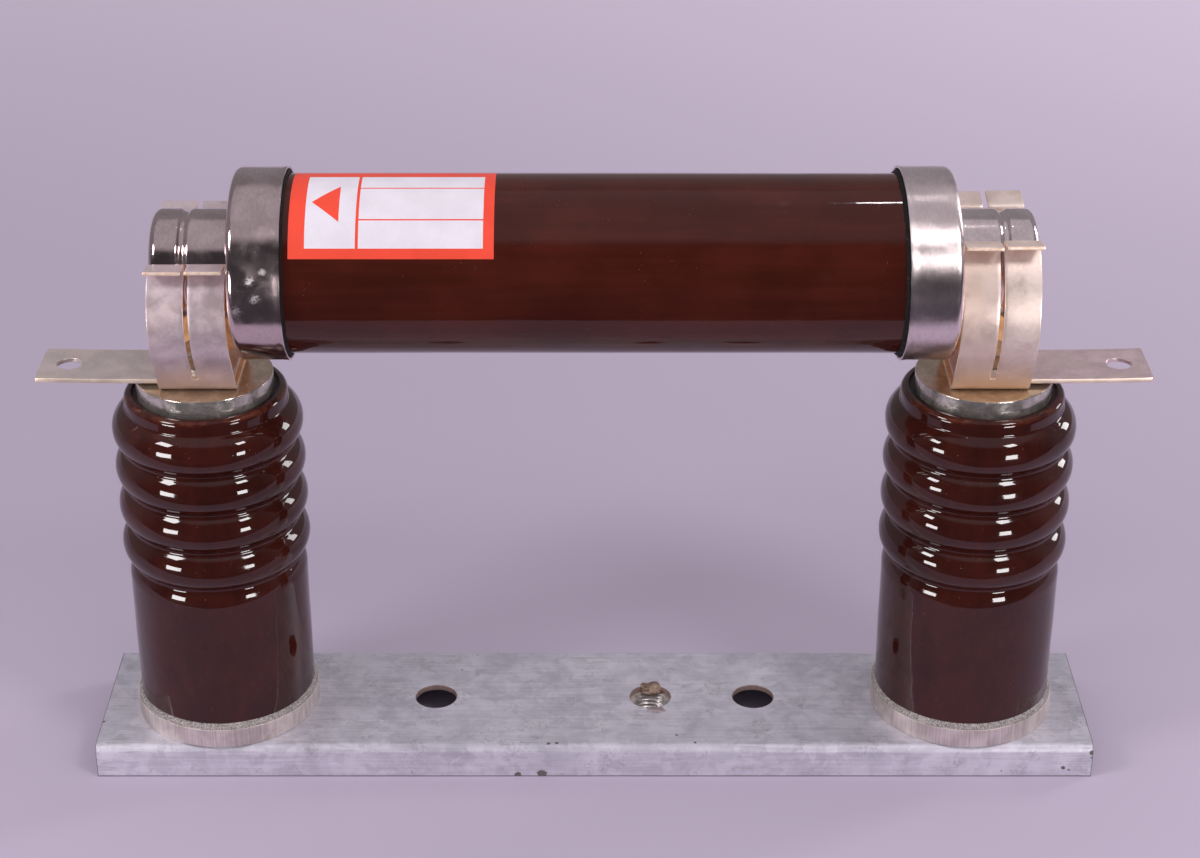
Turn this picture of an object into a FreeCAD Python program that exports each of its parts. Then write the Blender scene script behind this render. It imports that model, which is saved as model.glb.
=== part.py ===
import FreeCAD, Part
import math
import os
import types

import Sketcher

# Indoor high voltage fuse base with its current-limiting fuse-link.
# Millimetres. X runs along the fuse-link, Y towards the rear, Z up.
# The origin is under the middle of the base channel.

SIZES = {
    # base channel, a folded strip of galvanised sheet
    "base_overhang": 54.0,
    "base_width": 78.0,
    "base_height": 16.0,
    "sheet_thickness": 2.5,
    "bend_radius": 1.5,
    "mounting_hole_diameter": 18.4,
    "mounting_hole_spacing": 142.0,
    "earth_hole_offset": 25.0,
    # earth nut, M16, welded under the sheet
    "earth_nut_flats": 24.0,
    "earth_nut_height": 13.0,
    "earth_thread_bore": 13.84,
    # post insulators
    "foot_ring_gap": 0.9,
    "foot_ring_wall": 0.9,
    "foot_ring_height": 8.8,
    "foot_web": 3.0,
    "foot_boss_diameter": 24.0,
    "foot_boss_height": 18.0,
    "cement_bed": 0.8,
    "cement_gap": 2.5,
    "bead_rise": 2.0,
    "porcelain_height": 151.7,
    "porcelain_diameter": 76.4,
    "porcelain_foot_chamfer": 1.5,
    "rib_count": 4,
    "rib_pitch": 18.1,
    "rib_rise": 2.0,
    "valley_depth": 2.0,
    "valley_radius": 2.0,
    "top_rib_depth": 15.8,
    "shoulder_drop": 6.9,
    "collar_inset": 3.9,
    "collar_fillet": 1.5,
    "collar_round": 2.6,
    "top_recess_land": 0.6,
    "top_recess_depth": 1.5,
    "top_disc_gap": 2.35,
    "top_disc_height": 8.3,
    "top_disc_edge": 0.4,
    "top_stem_diameter": 24.0,
    "top_stem_length": 22.0,
    # fixings
    "fixing_bolt_diameter": 12.0,
    "fixing_bolt_flats": 19.0,
    "fixing_bolt_head": 7.5,
    "fixing_bolt_reach": 14.0,
    "fixing_washer_diameter": 24.0,
    "fixing_washer_thickness": 2.5,
    "clip_bolt_diameter": 10.0,
    "clip_bolt_flats": 17.0,
    "clip_bolt_head": 6.4,
    "clip_bolt_reach": 14.0,
    "clip_washer_diameter": 20.0,
    "clip_washer_thickness": 2.0,
    "bolt_chamfer_angle": 30.0,
    "bolt_hole_clearance": 0.5,
    # terminal straps
    "strap_side_clearance": 0.3,
    "strap_thickness": 2.0,
    "strap_reach": 68.2,
    "strap_corner": 1.0,
    "terminal_hole_diameter": 10.5,
    "terminal_hole_inset": 12.0,
    # spring clips
    "clip_width": 32.0,
    "clip_thickness": 1.5,
    "axis_above_clip_seat": 49.6,
    "clip_bulge": 9.5,
    "clip_neck_angle": 50.6,
    "clip_foot_angle": 32.5,
    "clip_foot_bend": 3.0,
    "clip_lip_bend": 1.0,
    "clip_lip_angle": 8.0,
    "clip_lip_length": 9.6,
    "clip_slit": 2.2,
    "clip_slit_floor": 7.5,
    "clip_clearance": 0.3,
    "clip_shoulder_gap": 1.5,
    # fuse-link
    "link_body_length": 292.0,
    "tube_diameter": 73.7,
    "tube_wall": 7.0,
    "tube_end_round": 1.0,
    "cap_wall": 1.4,
    "cap_skirt": 21.5,
    "cap_corner": 3.0,
    "cap_rim_flare": 0.5,
    "contact_diameter": 45.0,
    "contact_corner": 3.5,
    "groove_centre": 20.0,
    "groove_depth": 1.2,
    "groove_bend": 2.2,
    "seal_inset": 1.6,
    "seal_thickness": 1.35,
    "gasket_thickness": 1.6,
    "contact_plate_thickness": 2.0,
    # winding core and fuse elements
    "core_tip_diameter": 40.0,
    "core_valley_diameter": 26.0,
    "core_bore_clearance": 0.4,
    "core_ribs": 6,
    "element_count": 3,
    "element_turns": 4,
    "element_width": 4.0,
    "element_thickness": 0.3,
    "sand_clearance": 0.1,
    # striker
    "striker_travel": 22.0,
    "striker_pin_diameter": 8.0,
    "striker_hole_clearance": 0.4,
    "striker_pin_rest": 0.5,
    "striker_collar_diameter": 16.0,
    "striker_collar_length": 3.0,
    "striker_collar_clearance": 0.3,
    "striker_housing_wall": 1.0,
    "striker_housing_length": 50.0,
    "striker_spring_wire": 1.4,
    "striker_spring_turns": 6,
    "striker_wire_diameter": 1.0,
}

doc = FreeCAD.newDocument("fuse")
sheet = doc.addObject("Spreadsheet::Sheet", "sizes")
for row, (alias, number) in enumerate(SIZES.items(), start=1):
    sheet.set(f"A{row}", alias)
    sheet.set(f"B{row}", str(number))
    sheet.setAlias(f"B{row}", alias)
doc.recompute()


class Size:
    """A length held both as a number and as the expression that ties it to the sheet."""

    def __init__(self, value, text=None):
        self.value = float(value)
        self.text = text if text else repr(float(value))

    def __add__(self, other):
        other = as_size(other)
        return Size(self.value + other.value, f"({self.text} + {other.text})")

    def __sub__(self, other):
        other = as_size(other)
        return Size(self.value - other.value, f"({self.text} - {other.text})")

    def __mul__(self, other):
        other = as_size(other)
        return Size(self.value * other.value, f"({self.text} * {other.text})")

    def __truediv__(self, other):
        other = as_size(other)
        return Size(self.value / other.value, f"({self.text} / {other.text})")

    def __rmul__(self, other):
        return as_size(other) * self

    def __rsub__(self, other):
        return as_size(other) - self

    def __neg__(self):
        return Size(-self.value, f"(-1 * {self.text})")


def as_size(number):
    return number if isinstance(number, Size) else Size(number)


def root(size):
    return Size(math.sqrt(size.value), f"sqrt({size.text})")


def cosine(degrees):
    degrees = as_size(degrees)
    return Size(math.cos(math.radians(degrees.value)), f"cos({degrees.text})")


def sine(degrees):
    degrees = as_size(degrees)
    return Size(math.sin(math.radians(degrees.value)), f"sin({degrees.text})")


def tangent(degrees):
    degrees = as_size(degrees)
    return Size(math.tan(math.radians(degrees.value)), f"tan({degrees.text})")


d = types.SimpleNamespace(
    **{alias: Size(number, f"sizes.{alias}") for alias, number in SIZES.items()}
)

# Heights of the stack, from the support surface up to the fuse axis.
base_top = d.base_height
porcelain_bottom = base_top + d.foot_web + d.cement_bed
porcelain_top = porcelain_bottom + d.porcelain_height
disc_bottom = porcelain_top - d.top_recess_depth
disc_top = disc_bottom + d.top_disc_height
strap_seat = disc_top + d.clip_thickness
clip_washer_seat = strap_seat + d.strap_thickness
axis_height = disc_top + d.axis_above_clip_seat

# Places along the fuse axis, from the middle of the link. The posts stand under the clips.
half_link = d.link_body_length / 2
plate_face = half_link - d.cap_wall
tube_end = plate_face - d.gasket_thickness
contact_end = half_link + d.clip_shoulder_gap + d.clip_width
side_place = contact_end - d.clip_width / 2
base_end = side_place + d.base_overhang

# Radii of pieces that fit round or inside each other.
tube_radius = d.tube_diameter / 2
cap_radius = tube_radius + d.seal_thickness + d.cap_wall
contact_radius = d.contact_diameter / 2
porcelain_radius = d.porcelain_diameter / 2
collar_radius = porcelain_radius - d.collar_inset
recess_radius = collar_radius - d.collar_round - d.top_recess_land
disc_radius = recess_radius - d.top_disc_gap
cup_radius = porcelain_radius + d.foot_ring_gap
ring_radius = cup_radius + d.foot_ring_wall
striker_bore = d.striker_collar_diameter / 2 + d.striker_collar_clearance
striker_outside = striker_bore + d.striker_housing_wall

ORIGIN = FreeCAD.Vector(0, 0, 0)
SIDES = (("left", -1), ("right", 1))


def new_body(name):
    body = doc.addObject("PartDesign::Body", name)
    body.Label = name
    return body


def sketch_on(body, role, name="profile"):
    """A sketch on one of the body's own origin planes."""
    plane = [f for f in body.Origin.OriginFeatures if f.Role == role][0]
    sketch = body.newObject("Sketcher::SketchObject", f"{body.Name}_{name}")
    sketch.AttachmentSupport = [(plane, "")]
    sketch.MapMode = "FlatFace"
    return sketch


def pin_coordinate(sketch, kind, geometry, end, size):
    if size.value == 0 and size.text == "0.0":
        axis = -2 if kind == "DistanceX" else -1
        sketch.addConstraint(Sketcher.Constraint("PointOnObject", geometry, end, axis))
        return
    index = sketch.addConstraint(Sketcher.Constraint(kind, geometry, end, size.value))
    sketch.setExpression(f"Constraints[{index}]", size.text)


def outline(sketch, corners):
    """A closed outline through the corners, each (x, y) or (x, y, centre_x, centre_y, turn).

    The long form starts an arc about the centre that leads to the next corner; turn is
    1 for an anticlockwise arc and -1 for a clockwise one.
    """
    first = sketch.GeometryCount
    ends = []
    for here, after in zip(corners, corners[1:] + corners[:1]):
        p = FreeCAD.Vector(as_size(here[0]).value, as_size(here[1]).value, 0)
        q = FreeCAD.Vector(as_size(after[0]).value, as_size(after[1]).value, 0)
        if len(here) == 2:
            sketch.addGeometry(Part.LineSegment(p, q), False)
            ends.append((1, 2))
            continue
        centre = FreeCAD.Vector(as_size(here[2]).value, as_size(here[3]).value, 0)
        circle = Part.Circle(centre, FreeCAD.Vector(0, 0, 1), p.distanceToPoint(centre))
        start, stop = (p, q) if here[4] > 0 else (q, p)
        low = math.atan2(start.y - centre.y, start.x - centre.x)
        high = math.atan2(stop.y - centre.y, stop.x - centre.x)
        if high < low:
            high += 2 * math.pi
        sketch.addGeometry(Part.ArcOfCircle(circle, low, high), False)
        ends.append((1, 2) if here[4] > 0 else (2, 1))
    for k, here in enumerate(corners):
        before = k - 1 if k else len(corners) - 1
        sketch.addConstraint(
            Sketcher.Constraint(
                "Coincident", first + before, ends[before][1], first + k, ends[k][0]
            )
        )
        pin_coordinate(sketch, "DistanceX", first + k, ends[k][0], as_size(here[0]))
        pin_coordinate(sketch, "DistanceY", first + k, ends[k][0], as_size(here[1]))
        if len(here) > 2:
            after = corners[(k + 1) % len(corners)]
            run = abs(as_size(after[0]).value - as_size(here[0]).value)
            rise = abs(as_size(after[1]).value - as_size(here[1]).value)
            if rise >= run:
                pin_coordinate(sketch, "DistanceX", first + k, 3, as_size(here[2]))
            else:
                pin_coordinate(sketch, "DistanceY", first + k, 3, as_size(here[3]))


def circle(sketch, x, y, radius):
    x, y, radius = as_size(x), as_size(y), as_size(radius)
    middle = FreeCAD.Vector(x.value, y.value, 0)
    round_edge = Part.Circle(middle, FreeCAD.Vector(0, 0, 1), radius.value)
    index = sketch.addGeometry(round_edge, False)
    pin_coordinate(sketch, "DistanceX", index, 3, x)
    pin_coordinate(sketch, "DistanceY", index, 3, y)
    size = sketch.addConstraint(Sketcher.Constraint("Radius", index, radius.value))
    sketch.setExpression(f"Constraints[{size}]", radius.text)


def polygon(sketch, x, y, flats, sides=6):
    """A regular polygon of the given width across flats."""
    reach = flats / 2 / cosine(180 / sides)
    corners = []
    for k in range(sides):
        angle = 360 / sides * k
        corners.append((x + reach * cosine(angle), y + reach * sine(angle)))
    outline(sketch, corners)


def revolve(body, sketch, axis):
    feature = body.newObject("PartDesign::Revolution", f"{sketch.Name}_turned")
    feature.Profile = sketch
    feature.ReferenceAxis = (sketch, [axis])
    feature.Angle = 360
    return feature


def pad(body, sketch, length, symmetric=False, reverse=False):
    feature = body.newObject("PartDesign::Pad", f"{sketch.Name}_pad")
    feature.Profile = sketch
    feature.setExpression("Length", as_size(length).text)
    feature.SideType = "Symmetric" if symmetric else "One side"
    feature.Reversed = reverse
    return feature


def pocket_through(body, sketch):
    """A cut all the way through, both ways from the sketch, that has to remove material."""
    doc.recompute()
    before = body.Shape.Volume
    feature = body.newObject("PartDesign::Pocket", f"{sketch.Name}_cut")
    feature.Profile = sketch
    feature.Type = "ThroughAll"
    feature.SideType = "Symmetric"
    doc.recompute()
    if body.Shape.Volume >= before:
        raise RuntimeError(f"{sketch.Name} cuts nothing")
    return feature


def place(body, x=None, z=None, half_turn=False):
    """Stands the body at x and z, turned half round about the vertical if asked."""
    if half_turn:
        body.Placement = FreeCAD.Placement(
            ORIGIN, FreeCAD.Rotation(FreeCAD.Vector(0, 0, 1), 180)
        )
    if x is not None:
        body.setExpression("Placement.Base.x", as_size(x).text)
    if z is not None:
        body.setExpression("Placement.Base.z", as_size(z).text)


def solid_piece(name, shape):
    feature = doc.addObject("Part::Feature", name)
    feature.Label = name
    feature.Shape = shape
    return feature


pieces = []


# Base channel: a U of sheet, open downwards and at both ends
def make_base_channel():
    body = new_body("base_channel")
    profile = sketch_on(body, "YZ_Plane")
    half = d.base_width / 2
    wall = d.sheet_thickness
    inner = d.bend_radius
    outer = inner + wall
    bend_y = half - outer
    bend_z = d.base_height - outer
    outline(
        profile,
        [
            (half, 0),
            (half, bend_z, bend_y, bend_z, 1),
            (bend_y, d.base_height),
            (-bend_y, d.base_height, -bend_y, bend_z, 1),
            (-half, bend_z),
            (-half, 0),
            (wall - half, 0),
            (wall - half, bend_z, -bend_y, bend_z, -1),
            (-bend_y, d.base_height - wall),
            (bend_y, d.base_height - wall, bend_y, bend_z, -1),
            (half - wall, bend_z),
            (half - wall, 0),
        ],
    )
    pad(body, profile, base_end * 2, symmetric=True)
    holes = sketch_on(body, "XY_Plane", "holes")
    for x in (-(d.mounting_hole_spacing / 2), d.mounting_hole_spacing / 2, d.earth_hole_offset):
        circle(holes, x, 0, d.mounting_hole_diameter / 2)
    for x in (-side_place, side_place):
        circle(holes, x, 0, (d.fixing_bolt_diameter + d.bolt_hole_clearance) / 2)
    pocket_through(body, holes)
    pieces.append(body)


# Earth nut, welded to the underside of the sheet below its own hole
def make_earth_nut():
    body = new_body("earth_nut")
    profile = sketch_on(body, "XY_Plane")
    polygon(profile, as_size(0), as_size(0), d.earth_nut_flats)
    circle(profile, 0, 0, d.earth_thread_bore / 2)
    pad(body, profile, d.earth_nut_height)
    place(body, d.earth_hole_offset, d.base_height - d.sheet_thickness - d.earth_nut_height)
    pieces.append(body)


# Foot fitting: a shallow turned cup with a tapped boss that stands up into the porcelain
def make_foot_fitting(side, sign):
    body = new_body(f"{side}_foot_fitting")
    profile = sketch_on(body, "XZ_Plane")
    web_top = base_top + d.foot_web
    boss = d.foot_boss_diameter / 2
    bore = d.fixing_bolt_diameter / 2
    outline(
        profile,
        [
            (bore, base_top),
            (ring_radius, base_top),
            (ring_radius, base_top + d.foot_ring_height),
            (cup_radius, base_top + d.foot_ring_height),
            (cup_radius, web_top),
            (boss, web_top),
            (boss, web_top + d.foot_boss_height),
            (bore, web_top + d.foot_boss_height),
        ],
    )
    revolve(body, profile, "V_Axis")
    place(body, side_place * sign)
    pieces.append(body)


# Foot cement: the bed under the porcelain, the lining of its socket and the bead round its foot
def make_foot_cement(side, sign):
    body = new_body(f"{side}_foot_cement")
    profile = sketch_on(body, "XZ_Plane")
    chamfer = d.porcelain_foot_chamfer
    web_top = base_top + d.foot_web
    boss = d.foot_boss_diameter / 2
    socket = boss + d.cement_gap
    rim_top = base_top + d.foot_ring_height
    outline(
        profile,
        [
            (boss, web_top),
            (cup_radius, web_top),
            (cup_radius, rim_top),
            (porcelain_radius, rim_top + d.bead_rise),
            (porcelain_radius, porcelain_bottom + chamfer),
            (porcelain_radius - chamfer, porcelain_bottom),
            (socket, porcelain_bottom),
            (socket, web_top + d.foot_boss_height),
            (boss, web_top + d.foot_boss_height),
        ],
    )
    revolve(body, profile, "V_Axis")
    place(body, side_place * sign)
    pieces.append(body)


def rib_corners():
    """The ribbed flank from the shoulder of the plain foot up to the collar."""
    foot = porcelain_radius
    rib = foot + d.rib_rise
    valley = foot - d.valley_depth
    hollow = d.valley_radius
    depth = d.rib_rise + d.valley_depth
    reach = (depth * depth + d.rib_pitch * d.rib_pitch / 4) / (2 * depth)
    round_radius = reach - hollow
    rib_centre = rib - round_radius
    hollow_centre = valley + hollow
    share = round_radius / reach
    touch_r = rib_centre + (reach - depth) * share
    touch_z = d.rib_pitch / 2 * share
    top_rib = porcelain_top - d.top_rib_depth
    corners = []

    lowest_rib = top_rib - d.rib_pitch * (SIZES["rib_count"] - 1)
    low_valley = lowest_rib - d.rib_pitch / 2
    shoulder_z = low_valley - d.shoulder_drop
    drop = d.shoulder_drop
    offset = hollow - d.valley_depth
    shoulder = (drop * drop + offset * offset - hollow * hollow) / (2 * (hollow - offset))
    shoulder_centre = foot - shoulder
    shoulder_share = shoulder / (shoulder + hollow)
    corners.append((foot, shoulder_z, shoulder_centre, shoulder_z, 1))
    corners.append(
        (
            shoulder_centre + (hollow_centre - shoulder_centre) * shoulder_share,
            shoulder_z + drop * shoulder_share,
            hollow_centre,
            low_valley,
            -1,
        )
    )
    for k in range(SIZES["rib_count"]):
        z = lowest_rib + d.rib_pitch * k
        corners.append((touch_r, z - touch_z, rib_centre, z, 1))
        if k < SIZES["rib_count"] - 1:
            corners.append((touch_r, z + touch_z, hollow_centre, z + d.rib_pitch / 2, -1))

    fillet = d.collar_fillet
    fillet_r = collar_radius + fillet
    span = round_radius + fillet
    fillet_rise = root(span * span - (fillet_r - rib_centre) * (fillet_r - rib_centre))
    fillet_z = top_rib + fillet_rise
    fillet_share = round_radius / span
    corners.append(
        (
            rib_centre + (fillet_r - rib_centre) * fillet_share,
            top_rib + fillet_rise * fillet_share,
            fillet_r,
            fillet_z,
            -1,
        )
    )
    corners.append((collar_radius, fillet_z))
    return corners


# Porcelain post: plain foot, four rounded ribs, collar, and a socket at each end
def make_insulator(side, sign):
    body = new_body(f"{side}_insulator")
    profile = sketch_on(body, "XZ_Plane")
    chamfer = d.porcelain_foot_chamfer
    low_socket = d.foot_boss_diameter / 2 + d.cement_gap
    low_socket_top = base_top + d.foot_web + d.foot_boss_height + d.cement_gap
    top_socket = d.top_stem_diameter / 2 + d.cement_gap
    top_socket_floor = disc_bottom - d.top_stem_length - d.cement_gap
    lip = d.collar_round
    lip_centre = collar_radius - lip
    corners = [
        (low_socket, porcelain_bottom),
        (porcelain_radius - chamfer, porcelain_bottom),
        (porcelain_radius, porcelain_bottom + chamfer),
    ]
    corners += rib_corners()
    corners += [
        (collar_radius, porcelain_top - lip, lip_centre, porcelain_top - lip, 1),
        (lip_centre, porcelain_top),
        (recess_radius, porcelain_top),
        (recess_radius, disc_bottom),
        (top_socket, disc_bottom),
        (top_socket, top_socket_floor),
        (0, top_socket_floor),
        (0, low_socket_top),
        (low_socket, low_socket_top),
    ]
    outline(profile, corners)
    revolve(body, profile, "V_Axis")
    place(body, side_place * sign)
    pieces.append(body)


# Top fitting: a turned disc with a tapped stem that stands down into the porcelain
def make_top_fitting(side, sign):
    body = new_body(f"{side}_top_fitting")
    profile = sketch_on(body, "XZ_Plane")
    rim = disc_radius
    stem = d.top_stem_diameter / 2
    bore = d.clip_bolt_diameter / 2
    thread_floor = disc_top - d.clip_bolt_reach
    edge = d.top_disc_edge
    outline(
        profile,
        [
            (0, disc_bottom - d.top_stem_length),
            (stem, disc_bottom - d.top_stem_length),
            (stem, disc_bottom),
            (rim, disc_bottom),
            (rim, disc_top - edge, rim - edge, disc_top - edge, 1),
            (rim - edge, disc_top),
            (bore, disc_top),
            (bore, thread_floor),
            (0, thread_floor),
        ],
    )
    revolve(body, profile, "V_Axis")
    place(body, side_place * sign)
    pieces.append(body)


# Top cement: a cup round the stem of the top fitting
def make_top_cement(side, sign):
    body = new_body(f"{side}_top_cement")
    profile = sketch_on(body, "XZ_Plane")
    stem = d.top_stem_diameter / 2
    socket = stem + d.cement_gap
    stem_end = disc_bottom - d.top_stem_length
    outline(
        profile,
        [
            (0, stem_end - d.cement_gap),
            (socket, stem_end - d.cement_gap),
            (socket, disc_bottom),
            (stem, disc_bottom),
            (stem, stem_end),
            (0, stem_end),
        ],
    )
    revolve(body, profile, "V_Axis")
    place(body, side_place * sign)
    pieces.append(body)


def jaw_outline():
    """Radii and places of the clip's outline, with heights from the fuse axis.

    The jaw is a foot bend, a straight flare, a large arc round the contact, and a lip bend
    whose convex face stands just clear of the contact. The flare leaves the arc at the foot
    angle and runs down to the bend, which ends the flat of the foot. The lip rises outwards.
    """
    wall = d.clip_thickness
    inner = contact_radius + d.clip_bulge
    outer = inner + wall
    span = outer + d.clip_lip_bend
    hold = contact_radius + d.clip_clearance + d.clip_lip_bend + wall
    lip_y = span * cosine(d.clip_neck_angle)
    lip_z = root(hold * hold - lip_y * lip_y)
    arc_z = lip_z - span * sine(d.clip_neck_angle)
    seat = -d.axis_above_clip_seat
    foot = d.clip_foot_angle
    flare = 90 - foot
    corner_y = (outer - (arc_z - seat) * sine(foot)) / cosine(foot)
    bend_out = d.clip_foot_bend + wall
    return types.SimpleNamespace(
        inner=inner,
        outer=outer,
        lip_y=lip_y,
        lip_z=lip_z,
        arc_z=arc_z,
        seat=seat,
        flare=flare,
        bend_out=bend_out,
        bend_y=corner_y - bend_out * tangent(flare / 2),
        bend_z=seat + bend_out,
    )


jaw = jaw_outline()
strap_half = jaw.bend_y - d.strap_side_clearance


# Terminal strap: a flat bar that lies in the clip, on the flat of its foot
def make_terminal_strap(side, sign):
    body = new_body(f"{side}_terminal_strap")
    profile = sketch_on(body, "XY_Plane")
    half = strap_half
    corner = d.strap_corner
    reach = d.strap_reach
    outline(
        profile,
        [
            (-half, -half),
            (reach - corner, -half, reach - corner, corner - half, 1),
            (reach, corner - half),
            (reach, half - corner, reach - corner, half - corner, 1),
            (reach - corner, half),
            (-half, half),
        ],
    )
    circle(profile, 0, 0, (d.clip_bolt_diameter + d.bolt_hole_clearance) / 2)
    circle(profile, reach - d.terminal_hole_inset, 0, d.terminal_hole_diameter / 2)
    pad(body, profile, d.strap_thickness)
    place(body, side_place * sign, strap_seat, half_turn=sign < 0)
    pieces.append(body)


def clip_half(side_sign):
    """One half of the clip's edge-on outline, as outer and inner corners from foot to lip."""

    def bend_point(radius):
        return (jaw.bend_y + radius * sine(jaw.flare), jaw.bend_z - radius * cosine(jaw.flare))

    def arc_point(radius, angle):
        return (radius * cosine(angle), jaw.arc_z + radius * sine(angle))

    def lip_point(radius, along):
        rise = d.clip_lip_angle
        y = jaw.lip_y - radius * sine(rise) + along * cosine(rise)
        return (s * y, jaw.lip_z + radius * cosine(rise) + along * sine(rise))

    neck = d.clip_neck_angle
    foot = d.clip_foot_angle
    lip_inner = d.clip_lip_bend
    lip_outer = lip_inner + d.clip_thickness
    lip_length = d.clip_lip_length
    s = side_sign
    outer_path = [
        (s * jaw.bend_y, jaw.seat, s * jaw.bend_y, jaw.bend_z, s),
        (s * bend_point(jaw.bend_out)[0], bend_point(jaw.bend_out)[1]),
        (s * arc_point(jaw.outer, -foot)[0], arc_point(jaw.outer, -foot)[1], 0, jaw.arc_z, s),
        (
            s * arc_point(jaw.outer, neck)[0],
            arc_point(jaw.outer, neck)[1],
            s * jaw.lip_y,
            jaw.lip_z,
            -s,
        ),
        lip_point(lip_inner, 0),
        lip_point(lip_inner, lip_length),
    ]
    inner_path = [
        lip_point(lip_outer, lip_length),
        (*lip_point(lip_outer, 0), s * jaw.lip_y, jaw.lip_z, s),
        (s * arc_point(jaw.inner, neck)[0], arc_point(jaw.inner, neck)[1], 0, jaw.arc_z, -s),
        (s * arc_point(jaw.inner, -foot)[0], arc_point(jaw.inner, -foot)[1]),
        (
            s * bend_point(d.clip_foot_bend)[0],
            bend_point(d.clip_foot_bend)[1],
            s * jaw.bend_y,
            jaw.bend_z,
            -s,
        ),
        (s * jaw.bend_y, jaw.seat + d.clip_thickness),
    ]
    return outer_path, inner_path


def reversed_path(path):
    """The same corners walked the other way, with each arc moved to its new start."""
    plain = [corner[:2] for corner in path][::-1]
    turned = []
    for k, corner in enumerate(plain):
        before = path[len(path) - 2 - k] if k < len(path) - 1 else None
        if before is not None and len(before) > 2:
            turned.append(corner + (before[2], before[3], -before[4]))
        else:
            turned.append(corner)
    return turned


# Spring clip: one strip bent to a foot and two jaws, each jaw slit into two fingers
def make_clip(side, sign):
    body = new_body(f"{side}_clip")
    profile = sketch_on(body, "YZ_Plane")
    right_out, right_in = clip_half(1)
    left_out, left_in = clip_half(-1)
    outline(
        profile,
        right_out + right_in + reversed_path(left_in) + reversed_path(left_out),
    )
    pad(body, profile, d.clip_width, symmetric=True)
    slit = sketch_on(body, "XZ_Plane", "slit")
    half = d.clip_slit / 2
    floor = jaw.seat + d.clip_slit_floor
    outline(
        slit,
        [
            (half, floor + half),
            (half, contact_radius * 2),
            (-half, contact_radius * 2),
            (-half, floor + half, 0, floor + half, 1),
        ],
    )
    pocket_through(body, slit)
    hole = sketch_on(body, "XY_Plane", "bolt_hole")
    circle(hole, 0, 0, (d.clip_bolt_diameter + d.bolt_hole_clearance) / 2)
    pocket_through(body, hole)
    place(body, side_place * sign, axis_height)
    pieces.append(body)


def bolt_shape(flats, head, shank, shank_length, up):
    """A hex bolt whose bearing face is at zero, its shank running up or down."""
    direction = 1 if up else -1
    inscribed = flats / 2
    corner = inscribed / math.cos(math.pi / 6)
    points = []
    for k in range(7):
        angle = math.pi / 3 * k
        points.append(FreeCAD.Vector(corner * math.cos(angle), corner * math.sin(angle), 0))
    hexagon = Part.Face(Part.makePolygon(points))
    block = hexagon.extrude(FreeCAD.Vector(0, 0, -direction * head))
    spread = head / math.tan(math.radians(d.bolt_chamfer_angle.value))
    chamfer = Part.makeCone(
        inscribed + spread, inscribed, head, ORIGIN, FreeCAD.Vector(0, 0, -direction)
    )
    block = block.common(chamfer)
    rod = Part.makeCylinder(shank, shank_length, ORIGIN, FreeCAD.Vector(0, 0, direction))
    return block.fuse(rod).removeSplitter()


def pair_of(name, shape, height):
    """The same fixing under or over both insulators, as two solids of one node."""
    copies = []
    for _, sign in SIDES:
        copy = shape.copy()
        copy.translate(FreeCAD.Vector(side_place.value * sign, 0, height.value))
        copies.append(copy)
    pieces.append(solid_piece(name, Part.Compound(copies)))


# Fixings: a bolt from below into each foot fitting, and one from above into each top fitting
def make_fixings():
    sheet_under = d.base_height - d.sheet_thickness
    washer_under = sheet_under - d.fixing_washer_thickness
    washer = Part.makeCylinder(
        d.fixing_washer_diameter.value / 2, d.fixing_washer_thickness.value
    ).cut(
        Part.makeCylinder(
            (d.fixing_bolt_diameter + d.bolt_hole_clearance).value / 2,
            d.fixing_washer_thickness.value,
        )
    )
    pair_of("fixing_washers", washer, washer_under)
    shank = base_top + d.fixing_bolt_reach - washer_under
    bolt = bolt_shape(
        d.fixing_bolt_flats.value,
        d.fixing_bolt_head.value,
        d.fixing_bolt_diameter.value / 2,
        shank.value,
        up=True,
    )
    pair_of("fixing_bolts", bolt, washer_under)

    washer = Part.makeCylinder(
        d.clip_washer_diameter.value / 2, d.clip_washer_thickness.value
    ).cut(
        Part.makeCylinder(
            (d.clip_bolt_diameter + d.bolt_hole_clearance).value / 2,
            d.clip_washer_thickness.value,
        )
    )
    head_seat = clip_washer_seat + d.clip_washer_thickness
    pair_of("clip_washers", washer, clip_washer_seat)
    shank = head_seat - (disc_top - d.clip_bolt_reach)
    bolt = bolt_shape(
        d.clip_bolt_flats.value,
        d.clip_bolt_head.value,
        d.clip_bolt_diameter.value / 2,
        shank.value,
        up=False,
    )
    pair_of("clip_bolts", bolt, head_seat)


# Fuse tube: glazed porcelain, open at both ends
def make_tube():
    body = new_body("fuse_tube")
    profile = sketch_on(body, "XZ_Plane")
    outside = tube_radius
    inside = outside - d.tube_wall
    end = tube_end
    edge = d.tube_end_round
    outline(
        profile,
        [
            (-end, inside),
            (end, inside),
            (end, outside - edge, end - edge, outside - edge, 1),
            (end - edge, outside),
            (edge - end, outside, edge - end, outside - edge, 1),
            (-end, outside - edge),
        ],
    )
    revolve(body, profile, "H_Axis")
    place(body, z=axis_height)
    pieces.append(body)


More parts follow.
